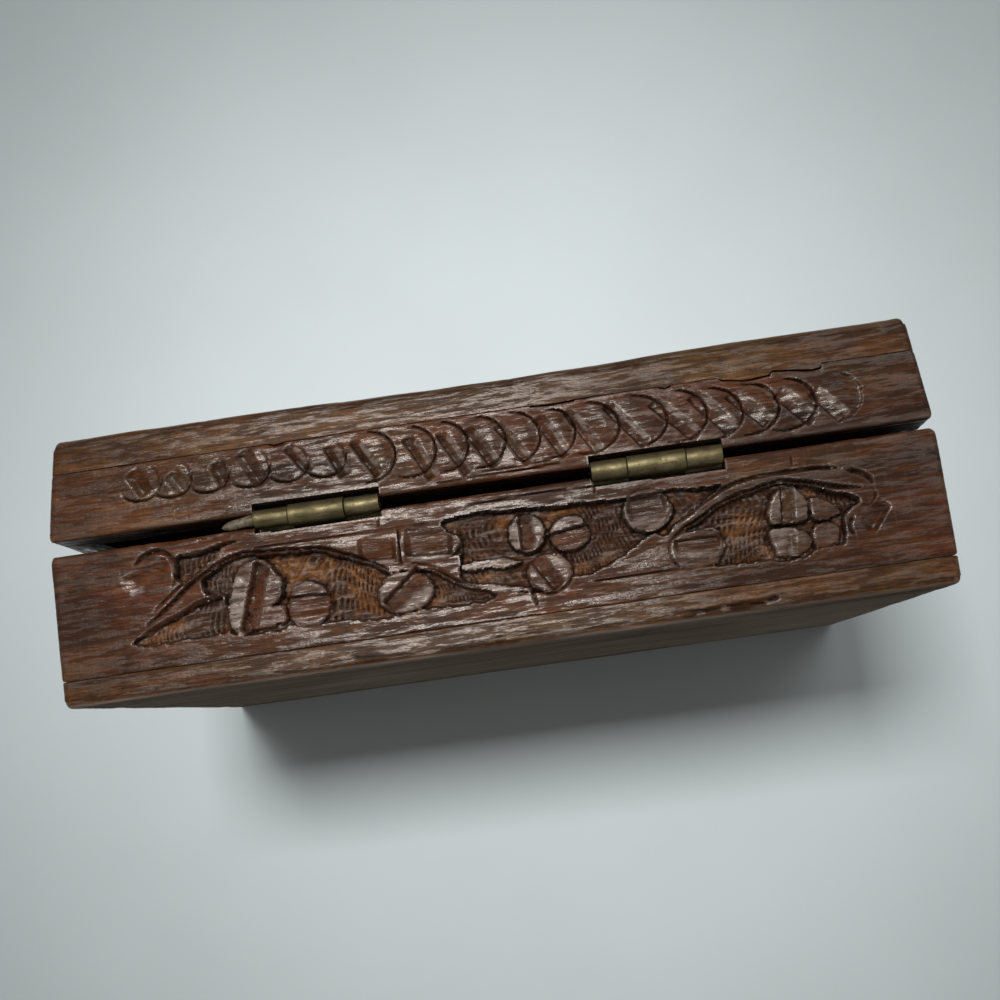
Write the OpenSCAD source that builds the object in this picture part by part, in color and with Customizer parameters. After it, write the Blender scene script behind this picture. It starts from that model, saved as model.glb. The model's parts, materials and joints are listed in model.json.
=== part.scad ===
// Keepsake box: two shallow wooden trays, a base and a lid, joined by two brass butt hinges.
// X runs along the box, +Y points to the hinge side and Z is up; the origin is under the middle.

/* [Box] */
// Length of the box
body_w = 203.2; // [150:0.1:260]
// Depth of the box, front to back
body_d = 127; // [90:0.1:170]
// Height of the base, from the table to its rim
base_h = 35.3; // [25:0.1:60]
// Thickness of the bottom board
bottom_t = 6.2; // [4:0.1:10]
// Thickness of the base walls and of the lid rails
wall_t = 9.5; // [9:0.1:14]

/* [Lid] */
// Height of the lid rails
rail_h = 16.2; // [12:0.1:30]
// Thickness of the lid's top board
lid_board_t = 8.5; // [5:0.1:12]
// Inward slope of the lid's sides, in degrees
side_slope = 4.5; // [0:0.1:8]
// Smallest gap between the two rims with the lid shut, at the front
rest_gap = 0.3; // [0.2:0.05:1]
// Sideways slope of the hinge line and the lid, in degrees
hinge_slope = 0.59; // [0:0.01:1]

/* [Carving] */
// Depth of the sunk grounds in the base walls
wall_ground_depth = 1.75; // [0.5:0.05:2.5]
// Depth of the sunk grounds in the lid's top
top_ground_depth = 1.5; // [0.5:0.05:2.5]
// Depth of the chisel cuts and of the rings
cut_depth = 1; // [0.3:0.05:1.6]
// Width of a ring's groove and of the line along the lid's edge
line_w = 1; // [0.5:0.05:1.5]

/* [Edges] */
// Rounding of the upright corners
corner_r = 1.5; // [0.5:0.1:3]
// Rounding of the lowest and the highest edges
outer_edge_r = 1.8; // [0.5:0.1:3]
// Rounding of the edges where the lid meets the base
rim_edge_r = 1.2; // [0.5:0.1:1.5]

/* [Hinges] */
// Middle of the left hinge, seen from the front
left_hinge_x = -40.2; // [-60:0.1:-30]
// Middle of the right hinge, seen from the front
right_hinge_x = 37.6; // [30:0.1:60]
// Outside diameter of the knuckles
knuckle_d = 5; // [4:0.1:6]
// Length of each outer knuckle, on the lid leaf
end_knuckle_len = 8; // [6:0.1:12]
// Length of the middle knuckle, on the base leaf
mid_knuckle_len = 13; // [8:0.1:20]
// Gap between neighbouring knuckles
knuckle_gap = 0.15; // [0.1:0.05:0.5]
// Diameter of the hinge pin
pin_d = 2.4; // [1.6:0.1:2.8]
// Radial play of the pin in the knuckles
pin_play = 0.05; // [0.02:0.01:0.1]
// Thickness of a leaf
leaf_t = 0.9; // [0.6:0.05:1.2]
// Width of a leaf, from the hinge line to its inner edge
leaf_w = 7.6; // [6.5:0.1:8]
// Distance of the hinge line inside the back face
hinge_inset = 1.05; // [0.8:0.05:1.5]
// Height of the hinge line over the base's rim
hinge_over_rim = 1.4; // [1.2:0.05:1.6]
// Height of the lid's rim over the hinge line
lid_over_hinge = 1.23; // [1.1:0.01:1.6]
// Play around the knuckles in their notch in the wood
notch_play = 0.9; // [0.5:0.1:1.2]
// Play around a leaf's edges
leaf_gap = 0.25; // [0.1:0.05:0.4]

/* [Hinge screws] */
// Diameter of a screw's shank
screw_d = 1.5; // [1:0.1:2]
// Diameter of a screw's head
screw_head_d = 2.7; // [2.2:0.1:3.2]
// Length of a screw, head included
screw_len = 7; // [5:0.1:10]
// Distance of the screws from the middle of their leaf
screw_x = 9.6; // [5:0.1:11]
// Distance of the screws from the hinge line
screw_y = 5.1; // [4.8:0.1:6]
// Radial play of a screw in its hole
screw_play = 0.03; // [0.02:0.01:0.1]

/* [Hidden] */
$fn = 48;

// Room by which a cut runs past the surface that it opens
past = 1;
rosewood = [0.30, 0.19, 0.13];
dark_rosewood = [0.24, 0.15, 0.11];
brass = [0.62, 0.52, 0.28];

// Hinge line
hinge_y = body_d / 2 - hinge_inset;
hinge_z = base_h + hinge_over_rim;
knuckle_r = knuckle_d / 2;
barrel_len = mid_knuckle_len + 2 * end_knuckle_len + 2 * knuckle_gap;
notch_r = knuckle_r + notch_play;
hinge_xs = [left_hinge_x, right_hinge_x];

// The lid leans towards the front until its lowest rim corner is rest_gap above the base's rim
lid_drop = hinge_over_rim + lid_over_hinge - rest_gap - body_w / 2 * sin(hinge_slope);
lid_pitch = asin(lid_drop / (hinge_y + body_d / 2));

// Lid heights over the hinge line, in the lid's own frame
lid_joint_z = lid_over_hinge + rail_h;
lid_top_z = lid_joint_z + lid_board_t;
lid_centre_y = hinge_inset - body_d / 2;

// The carving was drawn for a box of these sizes and stretches with the boards: length, depth,
// length of an end wall, height of the walls and height of the rails
drawn_w = 203.2;
drawn_d = 127;
drawn_end_w = 108;
drawn_wall_h = 29.1;
drawn_rail_h = 16.2;
wall_stretch = [body_w / drawn_w, (base_h - bottom_t) / drawn_wall_h];
end_stretch = [(body_d - 2 * wall_t) / drawn_end_w, wall_stretch[1]];
rail_stretch = [body_w / drawn_w, rail_h / drawn_rail_h];
end_rail_stretch = [end_stretch[0], rail_stretch[1]];
top_stretch = [body_w / drawn_w, body_d / drawn_d];
wall_mid_z = (bottom_t + base_h) / 2;

// Frames of the two bodies' fittings
module on_hinge_line() {
    translate([0, hinge_y, hinge_z]) rotate([0, -hinge_slope, 0]) children();
}

module in_lid_frame() {
    on_hinge_line() rotate([lid_pitch, 0, 0]) children();
}

// Block centred on X and Y that stands on z = 0
module slab(w, d, h) {
    translate([-w / 2, -d / 2, 0]) cube([w, d, h]);
}

// What a rounding takes off an edge along Z whose corner is at the origin, outside is +X +Y
module edge_waste(r, len) {
    translate([-r, -r, -len / 2]) difference() {
        cube([r + past, r + past, len]);
        translate([0, 0, -past]) cylinder(r = r, h = len + 2 * past);
    }
}

module upright_waste(w, d, h, r) {
    for (sx = [0, 1], sy = [0, 1])
        mirror([sx, 0, 0]) mirror([0, sy, 0])
            translate([w / 2, d / 2, h / 2]) edge_waste(r, h + 2 * past);
}

// Waste of the roundings along the four top edges of a block of this size
module top_waste(w, d, h, r) {
    for (side = [0, 1]) {
        mirror([0, side, 0]) translate([0, d / 2, h])
            rotate([90, 0, 90]) edge_waste(r, w + 2 * past);
        mirror([side, 0, 0]) translate([w / 2, 0, h])
            rotate([90, 0, 0]) edge_waste(r, d + 2 * past);
    }
}

module bottom_waste(w, d, r) {
    mirror([0, 0, 1]) top_waste(w, d, 0, r);
}

// Outer form of the whole base
module base_form() {
    difference() {
        slab(body_w, body_d, base_h);
        upright_waste(body_w, body_d, base_h, corner_r);
        bottom_waste(body_w, body_d, outer_edge_r);
        top_waste(body_w, body_d, base_h, rim_edge_r);
    }
}

// Wedges that give the lid's four sides their inward slope, from the rim up
module slope_waste() {
    reach = 2 * body_w;
    for (side = [0, 1]) {
        mirror([0, side, 0]) translate([0, body_d / 2, 0]) rotate([side_slope, 0, 0])
            translate([-reach / 2, 0, -reach / 2]) cube([reach, reach, reach]);
        mirror([side, 0, 0]) translate([body_w / 2, 0, 0]) rotate([0, -side_slope, 0])
            translate([0, -reach / 2, -reach / 2]) cube([reach, reach, reach]);
    }
}

// Outer form of the whole lid, standing on z = 0
module lid_form() {
    lid_h = rail_h + lid_board_t;
    top_in = 2 * lid_h * tan(side_slope);
    difference() {
        slab(body_w, body_d, lid_h);
        slope_waste();
        upright_waste(body_w, body_d, lid_h, corner_r);
        bottom_waste(body_w, body_d, rim_edge_r);
        top_waste(body_w - top_in, body_d - top_in, lid_h, outer_edge_r);
    }
}

// Places the lid's outer form over the hinge line
module place_lid() {
    in_lid_frame() translate([0, lid_centre_y, lid_over_hinge]) children();
}

// Board that runs the whole length of the box, at the back for side 1 and at the front for -1
module long_board(side, z, h) {
    translate([-body_w / 2 - past, side > 0 ? body_d / 2 - wall_t : -body_d / 2 - past, z])
        cube([body_w + 2 * past, wall_t + past, h]);
}

// Board that fits between the two long ones, at the right for side 1 and at the left for -1
module end_board(side, z, h) {
    translate([side > 0 ? body_w / 2 - wall_t : -body_w / 2 - past, wall_t - body_d / 2, z])
        cube([wall_t + past, body_d - 2 * wall_t, h]);
}

// Wood taken out for the hinges: below the hinge line for the base, or above it for the lid
module hinge_room(x, side) {
    mirror([0, 0, side > 0 ? 0 : 1]) {
        // notch around the knuckles
        translate([x - barrel_len / 2 - leaf_gap, -notch_r, -past])
            cube([barrel_len + 2 * leaf_gap, notch_r + hinge_inset + past, notch_r + past]);
        // bed of the leaf
        translate([x - barrel_len / 2 - leaf_gap, -leaf_w - leaf_gap, -past])
            cube([barrel_len + 2 * leaf_gap, leaf_w + leaf_gap, knuckle_r + past]);
        // screw holes
        for (sx = [-1, 1])
            translate([x + sx * screw_x, -screw_y, 0])
                cylinder(r = screw_d / 2 + screw_play, h = knuckle_r - leaf_t + screw_len + screw_play);
    }
}

// Frame on an outer face: x to the right as seen from outside, y up the face and z outwards
module on_side(turn, reach, z, lean = 0) {
    rotate([0, 0, turn]) translate([0, -reach, z]) rotate([90 - lean, 0, 0]) children();
}

function stretched(points, s) = [for (p = points) [p[0] * s[0], p[1] * s[1]]];

// Ground that is sunk to this depth
module ground(points, s, depth) {
    translate([0, 0, -depth]) linear_extrude(height = depth + past) polygon(stretched(points, s));
}

// Leaf or petal that is left standing in a ground
module leaf_form(points, s, depth) {
    translate([0, 0, -depth - past]) linear_extrude(height = depth + 3 * past)
        polygon(stretched(points, s));
}

// Round flower that is left standing in a ground
module disc_form(x, y, r, s, depth) {
    translate([x * s[0], y * s[1], -depth - past])
        cylinder(r = r * min(s[0], s[1]), h = depth + 3 * past);
}

// Straight cut with two slanting sides between two points of the face
module chisel_cut(from, to, w, s) {
    a = [from[0] * s[0], from[1] * s[1]];
    run = [to[0] * s[0] - a[0], to[1] * s[1] - a[1]];
    translate([a[0], a[1], 0]) rotate([0, 0, atan2(run[1], run[0])]) rotate([90, 0, 90])
        linear_extrude(height = norm(run)) polygon([[-w, cut_depth], [w, cut_depth], [0, -cut_depth]]);
}

// Left half of the walls' vine; heights are measured from the middle of the wall
module left_vine(s, depth) {
    difference() {
        union() {
            ground([[-83.5, -8.1], [-76, -4.5], [-68, -1.3], [-60, -0.2], [-58, -5], [-58, -9.4],
                    [-66, -9.1], [-79, -9.3]], s, depth);
            ground([[-71.6, 4.7], [-61.5, 9.5], [-62, 11.5], [-67, 10.5], [-71.6, 10.2]], s, depth);
            ground([[-50.8, 7.9], [-38, 6.9], [-30, 3.8], [-23, 0], [-14.5, -0.8], [-6, -5.7],
                    [1.2, -8.7], [-1.5, -9.9], [-22, -10.4], [-44, -10.3], [-58.6, -9.5],
                    [-61.4, -6.7], [-61.4, 0.3], [-66, 1.8], [-66, 4.3], [-57.5, 8.4]], s, depth);
        }
        // flower with a sliced petal, a broad petal under it and two round flowers
        leaf_form([[-56.3, 6.6], [-51.2, 6.7], [-47.5, 0.9], [-48.2, -1.8], [-50.4, -3.7],
                   [-54, -3.7], [-57.5, -0.7], [-58.5, 3.3]], s, depth);
        leaf_form([[-57.8, 4.7], [-55, 1.3], [-54.5, -2.7], [-56, -8.4], [-58.6, -8.8],
                   [-60.6, -6.7], [-60.4, -2.7], [-59.2, 1.3]], s, depth);
        leaf_form([[-55.9, -4.6], [-47.8, -4.3], [-47.4, -6.1], [-48.6, -8.2], [-55.6, -8.3]], s, depth);
        disc_form(-42, -4.7, 4.9, s, depth);
        disc_form(-19.6, -4.8, 5, s, depth);
    }
    chisel_cut([-51.6, 6.1], [-56.6, -9.1], 3.2, s);
    chisel_cut([-47.4, -3.9], [-37.2, -4.5], 3.2, s);
    chisel_cut([-23.6, -8.3], [-15.2, -1.3], 4, s);
    chisel_cut([-84.5, 5.7], [-73.6, 8.1], 4.2, s);
    // scooped leaf pair over the vine
    chisel_cut([-27.8, 5.4], [-20.6, 5.2], 3.8, s);
    chisel_cut([-17.4, 5.5], [-6.4, 4.9], 5.2, s);
}

// Right half of the walls' vine
module right_vine(s, depth) {
    difference() {
        union() {
            ground([[-9.6, 9.3], [0, 10.5], [12, 9.6], [31, 8.8], [42.5, 9.2], [53.5, 8.5],
                    [46, 3.5], [40, -0.9], [36.6, -0.3], [26, -5.9], [18.4, -7.1], [13, -9.8],
                    [4, -8.1], [-5.3, -5.1], [-6.8, -3.1], [-5.8, 4.8]], s, depth);
            ground([[44, -1.1], [52, 3.6], [60, 5.9], [67, 7], [74, 4.9], [82, 1.5],
                    [79.5, -1.7], [78.5, -7.7], [71.5, -9.1], [66, -10.5], [56, -9.7],
                    [49.3, -9.3], [52.2, -4.7], [50.5, -1.1]], s, depth);
        }
        // bar and four round flowers
        leaf_form([[-9, -2.1], [-9, -0.8], [4, -0.9], [7.2, -2], [4, -2.9]], s, depth);
        disc_form(9.3, 4.3, 4.2, s, depth);
        disc_form(18.8, 2.8, 4.2, s, depth);
        disc_form(13.2, -5.4, 4.6, s, depth);
        disc_form(36.6, 5.4, 5, s, depth);
        // flower of four leaves
        leaf_form([[64, 3.9], [66, 5.9], [69, 5.7], [71.2, 3.1], [71.4, -0.2], [70, -1.9],
                   [63.5, -1.9], [62.6, 0.8]], s, depth);
        leaf_form([[62.6, -3.1], [67.5, -3.3], [70.4, -4.7], [70.9, -7.3], [68.6, -8.9],
                   [64, -8.9], [62.8, -7.2]], s, depth);
        leaf_form([[72.4, 2.9], [75.5, 1.9], [78, -0.3], [77.8, -2], [72.4, -1.9]], s, depth);
        leaf_form([[72, -3.7], [76.6, -3.5], [77.6, -5.3], [76.2, -7.9], [72, -8.1]], s, depth);
    }
    chisel_cut([9.4, 8.9], [9.2, 0.5], 3.2, s);
    chisel_cut([14, 1.7], [23.6, 2.1], 3.2, s);
    chisel_cut([10.6, -1.5], [15, -8.7], 3.4, s);
    chisel_cut([32.4, 6.7], [41, 6.7], 4.6, s);
    chisel_cut([41.6, -4.3], [50.6, -4.2], 2.8, s);
    chisel_cut([67.2, 5.9], [67, -1.9], 2.6, s);
    chisel_cut([86.4, -1.1], [83.6, -6.5], 2.8, s);
}

// Right edges of the rings on a long rail, seen from outside, and those used on the shorter rows
ring_edges = [-73.5, -66.2, -57.3, -47.5, -38.4, -29.6, -18.2, -8.8, -1.3, 7.3, 15.2, 23.2,
              33.2, 44, 53, 60.8, 68.8, 77, 87.3];
end_ring_edges = [for (i = [6 : 16]) ring_edges[i] - 23];
top_ring_edges = [for (i = [12 : 18]) ring_edges[i] + 4];

// Right part of a ring whose right edge is at x, with a slanting cut through it
module cut_ring(x, y, r, s) {
    in = cut_depth;
    translate([x * s[0] - r, y, -in]) difference() {
        intersection() {
            cylinder(r = r, h = in + past);
            translate([-0.3 * r, -r - past, -past]) cube([2 * r, 2 * r + 2 * past, in + 3 * past]);
        }
        translate([0, 0, -past]) cylinder(r = r - line_w, h = in + 3 * past);
    }
    translate([x * s[0] - r, y, 0]) chisel_cut([-0.4 * r, 0.7 * r], [0.5 * r, -0.75 * r], 2.6, [1, 1]);
}

// Row of rings; those left of small_to are smaller and sit a little higher
module ring_row(edges, y, s, small_to = -28) {
    for (x = edges)
        cut_ring(x, (x < small_to ? y + 1.4 : y) * s[1], (x < small_to ? 4.9 : 6.2) * min(s[0], s[1]), s);
}

// Eight-leaved flower on a round ground inside a ring
module medallion(s, depth) {
    k = min(s[0], s[1]);
    difference() {
        translate([0, 0, -depth]) cylinder(r = 21 * k, h = depth + past);
        disc_form(0, 0, 4.2, s, depth);
        for (i = [0 : 7]) rotate([0, 0, 45 * i]) translate([12.6 * k, 0, 0])
            leaf_form([[-7, 0.6], [-3, 2.6], [1.5, 4.1], [5, 3.2], [7.4, 0], [5, -3.2],
                       [1.5, -4.1], [-3, -2.6], [-7, -0.6]], [k, k], depth);
    }
    for (i = [0 : 7]) rotate([0, 0, 45 * i]) chisel_cut([6.5, 0], [18.6, 0], 2.4, [k, k]);
    translate([0, 0, -cut_depth]) difference() {
        cylinder(r = 23.6 * k, h = cut_depth + past);
        translate([0, 0, -past]) cylinder(r = 23.6 * k - line_w, h = cut_depth + 3 * past);
    }
}

// Line round the lid's top
module border(inset) {
    top_in = 2 * (rail_h + lid_board_t) * tan(side_slope) + 2 * inset;
    w = body_w - top_in;
    d = body_d - top_in;
    translate([0, 0, -cut_depth]) difference() {
        slab(w, d, cut_depth + past);
        translate([0, 0, -past]) slab(w - 2 * line_w, d - 2 * line_w, cut_depth + 3 * past);
    }
}

// Half a vine fills an end wall
module end_carving() {
    translate([42 * end_stretch[0], 0, 0]) left_vine(end_stretch, wall_ground_depth);
}

// Everything that is carved out of the lid's top: four sprays, two rows of rings and the flower
module top_carving(s) {
    for (mx = [0, 1], my = [0, 1])
        mirror([mx, 0, 0]) mirror([0, my, 0])
            translate([-8 * s[0], -33.8 * s[1], 0]) left_vine(s, top_ground_depth);
    for (mx = [0, 1]) mirror([mx, 0, 0]) ring_row(top_ring_edges, 0, s);
    medallion(s, top_ground_depth);
    border(5);
}

// Base
module bottom_board() {
    color(dark_rosewood) intersection() {
        base_form();
        slab(body_w + 2 * past, body_d + 2 * past, bottom_t);
    }
}

module base_front_wall() {
    color(rosewood) difference() {
        intersection() {
            base_form();
            long_board(-1, bottom_t, base_h - bottom_t);
        }
        on_side(0, body_d / 2, wall_mid_z) mirror([1, 0, 0]) {
            left_vine(wall_stretch, wall_ground_depth);
            right_vine(wall_stretch, wall_ground_depth);
        }
    }
}

module base_rear_wall() {
    color(rosewood) difference() {
        intersection() {
            base_form();
            long_board(1, bottom_t, base_h - bottom_t);
        }
        on_side(180, body_d / 2, wall_mid_z) {
            left_vine(wall_stretch, wall_ground_depth);
            right_vine(wall_stretch, wall_ground_depth);
        }
        on_hinge_line() for (x = hinge_xs) hinge_room(x, -1);
    }
}

module base_left_wall() {
    color(rosewood) difference() {
        intersection() {
            base_form();
            end_board(-1, bottom_t, base_h - bottom_t);
        }
        on_side(270, body_w / 2, wall_mid_z) mirror([1, 0, 0]) end_carving();
    }
}

module base_right_wall() {
    color(rosewood) difference() {
        intersection() {
            base_form();
            end_board(1, bottom_t, base_h - bottom_t);
        }
        on_side(90, body_w / 2, wall_mid_z) end_carving();
    }
}

// Lid
module lid_top_board() {
    color(dark_rosewood) place_lid() difference() {
        intersection() {
            lid_form();
            translate([0, 0, rail_h]) slab(body_w + 2 * past, body_d + 2 * past, lid_board_t + past);
        }
        translate([0, 0, rail_h + lid_board_t]) top_carving(top_stretch);
    }
}

module lid_front_rail() {
    color(rosewood) place_lid() difference() {
        intersection() {
            lid_form();
            long_board(-1, 0, rail_h);
        }
        on_side(0, body_d / 2, 0, side_slope) mirror([1, 0, 0]) ring_row(ring_edges, 9.4, rail_stretch);
    }
}

module lid_rear_rail() {
    color(rosewood) difference() {
        place_lid() intersection() {
            lid_form();
            long_board(1, 0, rail_h);
        }
        place_lid() on_side(180, body_d / 2, 0, side_slope) ring_row(ring_edges, 9.4, rail_stretch);
        in_lid_frame() for (x = hinge_xs) hinge_room(x, 1);
    }
}

module lid_left_rail() {
    color(rosewood) place_lid() difference() {
        intersection() {
            lid_form();
            end_board(-1, 0, rail_h);
        }
        on_side(270, body_w / 2, 0, side_slope)
            ring_row(end_ring_edges, 9.4, end_rail_stretch, small_to = -60);
    }
}

module lid_right_rail() {
    color(rosewood) place_lid() difference() {
        intersection() {
            lid_form();
            end_board(1, 0, rail_h);
        }
        on_side(90, body_w / 2, 0, side_slope)
            ring_row(end_ring_edges, 9.4, end_rail_stretch, small_to = -60);
    }
}

// Leaf that lies above the hinge line, its plate rolled round the pin in the listed knuckles,
// each given as [start, length] along X from the middle of the hinge
module leaf(knuckles) {
    edge_y = -knuckle_r - leaf_gap;
    difference() {
        union() {
            translate([-barrel_len / 2, -leaf_w, knuckle_r - leaf_t])
                cube([barrel_len, leaf_w + edge_y, leaf_t]);
            for (k = knuckles) {
                translate([k[0], 0, 0]) rotate([0, 90, 0]) cylinder(r = knuckle_r, h = k[1]);
                translate([k[0], edge_y - past, knuckle_r - leaf_t])
                    cube([k[1], past - edge_y, leaf_t]);
            }
        }
        translate([-barrel_len / 2 - past, 0, 0]) rotate([0, 90, 0])
            cylinder(r = pin_d / 2 + pin_play, h = barrel_len + 2 * past);
        for (sx = [-1, 1])
            translate([sx * screw_x, -screw_y, knuckle_r - leaf_t]) screw(screw_play);
    }
}

// Countersunk screw whose head lies in z = 0 and whose shank points up
module screw(play) {
    cylinder(r1 = screw_head_d / 2 + play, r2 = screw_d / 2 + play, h = leaf_t);
    translate([0, 0, leaf_t - 0.01]) cylinder(r = screw_d / 2 + play, h = screw_len - leaf_t + 0.01);
}

module lid_leaf() {
    leaf([[-barrel_len / 2, end_knuckle_len], [barrel_len / 2 - end_knuckle_len, end_knuckle_len]]);
}

module base_leaf() {
    mirror([0, 0, 1]) leaf([[-mid_knuckle_len / 2, mid_knuckle_len]]);
}

module hinge_pin() {
    translate([-barrel_len / 2, 0, 0]) rotate([0, 90, 0]) cylinder(r = pin_d / 2, h = barrel_len);
}

module leaf_screws() {
    for (x = hinge_xs, sx = [-1, 1])
        translate([x + sx * screw_x, -screw_y, knuckle_r - leaf_t]) screw(0);
}

module left_base_leaf() {
    color(brass) on_hinge_line() translate([left_hinge_x, 0, 0]) base_leaf();
}

module right_base_leaf() {
    color(brass) on_hinge_line() translate([right_hinge_x, 0, 0]) base_leaf();
}

module left_hinge_pin() {
    color(brass) on_hinge_line() translate([left_hinge_x, 0, 0]) hinge_pin();
}

module right_hinge_pin() {
    color(brass) on_hinge_line() translate([right_hinge_x, 0, 0]) hinge_pin();
}

module base_leaf_screws() {
    color(brass) on_hinge_line() mirror([0, 0, 1]) leaf_screws();
}

module left_lid_leaf() {
    color(brass) in_lid_frame() translate([left_hinge_x, 0, 0]) lid_leaf();
}

module right_lid_leaf() {
    color(brass) in_lid_frame() translate([right_hinge_x, 0, 0]) lid_leaf();
}

module lid_leaf_screws() {
    color(brass) in_lid_frame() leaf_screws();
}

bottom_board();
base_front_wall();
base_rear_wall();
base_left_wall();
base_right_wall();
left_base_leaf();
right_base_leaf();
left_hinge_pin();
right_hinge_pin();
base_leaf_screws();
lid_top_board();
lid_front_rail();
lid_rear_rail();
lid_left_rail();
lid_right_rail();
left_lid_leaf();
right_lid_leaf();
lid_leaf_screws();
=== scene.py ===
import json
import math

import bpy
import numpy as np
from mathutils import Matrix, Vector


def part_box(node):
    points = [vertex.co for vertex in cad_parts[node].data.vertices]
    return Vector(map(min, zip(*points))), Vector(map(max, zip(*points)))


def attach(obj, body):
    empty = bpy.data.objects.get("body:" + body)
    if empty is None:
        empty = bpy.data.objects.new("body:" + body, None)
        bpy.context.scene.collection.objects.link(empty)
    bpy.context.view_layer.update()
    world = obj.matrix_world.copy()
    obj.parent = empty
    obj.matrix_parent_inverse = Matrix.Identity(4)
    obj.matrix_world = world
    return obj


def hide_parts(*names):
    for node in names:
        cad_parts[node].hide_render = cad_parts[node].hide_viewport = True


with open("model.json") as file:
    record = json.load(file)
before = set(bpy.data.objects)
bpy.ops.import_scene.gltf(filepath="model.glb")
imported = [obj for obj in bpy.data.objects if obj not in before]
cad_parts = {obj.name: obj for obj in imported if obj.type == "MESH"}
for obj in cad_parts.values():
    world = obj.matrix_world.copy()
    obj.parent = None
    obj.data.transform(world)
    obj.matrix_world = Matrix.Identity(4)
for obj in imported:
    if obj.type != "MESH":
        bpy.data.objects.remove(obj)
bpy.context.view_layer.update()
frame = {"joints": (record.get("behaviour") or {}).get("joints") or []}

scene = bpy.context.scene
MM = 0.001

# Sizes in mm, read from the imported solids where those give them
bottom_lo, bottom_hi = (np.array(p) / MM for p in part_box("bottom_board"))
wall_lo, wall_hi = (np.array(p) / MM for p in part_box("base_rear_wall"))
BOX_W = bottom_hi[0] - bottom_lo[0]
BOX_D = bottom_hi[1] - bottom_lo[1]
BOTTOM_T = bottom_hi[2]
RIM_Z = wall_hi[2]
WALL_T = wall_hi[1] - wall_lo[1]
WALL_H = RIM_Z - BOTTOM_T
RAIL_H = 16.2
LID_BOARD_T = 8.5
LEAN = math.tan(math.radians(4.5))
CORNER_R = 1.5
OUTER_R = 1.8
RIM_R = 1.2

# Hinges: the line is the lid's joint, both bodies' leaves lie in a frame on it
lid_joint = frame["joints"][0]
HINGE_AT = Vector(lid_joint["pos_m"]) / MM
HINGE_SLOPE = math.atan2(-lid_joint["axis"][2], -lid_joint["axis"][0])
HINGE_INSET = BOX_D / 2 - HINGE_AT.y
LID_OVER_HINGE = 1.23
REST_GAP = 0.3
KNUCKLE_R = 2.5
PIN_R = 1.2
LEAF_T = 0.9
LEAF_W = 7.6
LEAF_GAP = 0.25
NOTCH_R = 3.4
END_KNUCKLE = 8.0
MID_KNUCKLE = 13.0
BARREL = 29.3
SCREW_X = 9.6
SCREW_Y = 5.1
HINGE_X = {"left": -40.2, "right": 37.6}
END_RADIUS = {"left": 2.3, "right": 2.12}

lid_drop = HINGE_AT.z - RIM_Z + LID_OVER_HINGE - REST_GAP - BOX_W / 2 * math.sin(HINGE_SLOPE)
LID_PITCH = math.asin(lid_drop / (HINGE_AT.y + BOX_D / 2))
BASE_FRAME = Matrix.Identity(4)
HINGE_FRAME = Matrix.Translation(HINGE_AT) @ Matrix.Rotation(-HINGE_SLOPE, 4, "Y")
LID_FRAME = HINGE_FRAME @ Matrix.Rotation(LID_PITCH, 4, "X")

# Directions of a board's l, n and t: l runs along it, n out of its face and t up the face
BACK = np.array([[-1.0, 0, 0], [0, 1, 0], [0, 0, 1]])
FRONT = np.array([[1.0, 0, 0], [0, -1, 0], [0, 0, 1]])
RIGHT = np.array([[0, 1.0, 0], [1, 0, 0], [0, 0, 1]])
LEFT = np.array([[0, -1.0, 0], [-1, 0, 0], [0, 0, 1]])
TOP = np.array([[1.0, 0, 0], [0, 0, 1], [0, 1, 0]])
UNDER = np.array([[1.0, 0, 0], [0, 0, -1], [0, -1, 0]])


# Noise and profiles

class Lattice:
    """Smooth value noise in space, from -1 to 1, repeatable."""

    def __init__(self, seed, size=48):
        self.size = size
        self.table = np.random.RandomState(seed).uniform(-1, 1, (size, size, size))

    def __call__(self, points, scale):
        p = np.asarray(points, float) / np.asarray(scale, float) + 1000.0
        cell = np.floor(p).astype(int)
        f = p - cell
        f = f * f * (3 - 2 * f)
        total = 0.0
        for corner in range(8):
            bits = [(corner >> k) & 1 for k in range(3)]
            weight = 1.0
            index = []
            for k, bit in enumerate(bits):
                weight = weight * (f[..., k] if bit else 1 - f[..., k])
                index.append((cell[..., k] + bit) % self.size)
            total = total + weight * self.table[tuple(index)]
        return total

    def flat(self, s, t, scale_s, scale_t, layer=0.0):
        points = np.stack(np.broadcast_arrays(s, t, layer), -1)
        return self(points, (scale_s, scale_t, 1.0))


lumps = Lattice(11)
streaks = Lattice(23)
chatter = Lattice(37)


def ramp(x, lo, hi):
    f = np.clip((x - lo) / (hi - lo), 0, 1)
    return f * f * (3 - 2 * f)


def rounding(distance, radius):
    """How far a rounded edge draws the face in at this distance from the edge."""
    a = np.clip(radius - distance, 0, radius)
    return radius - np.sqrt(np.maximum(radius ** 2 - a ** 2, 0))


def blurred(field, cells):
    """Box blur of a grid, run twice."""
    out = field
    for axis in (0, 1, 0, 1):
        k = cells[axis]
        if k < 1:
            continue
        pad = [(0, 0), (0, 0)]
        pad[axis] = (k + 1, k)
        total = np.cumsum(np.pad(out, pad, mode="edge"), axis=axis)
        hi = np.take(total, range(2 * k + 1, total.shape[axis]), axis)
        lo = np.take(total, range(total.shape[axis] - 2 * k - 1), axis)
        out = (hi - lo) / (2 * k + 1)
    return out


# Carving

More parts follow.
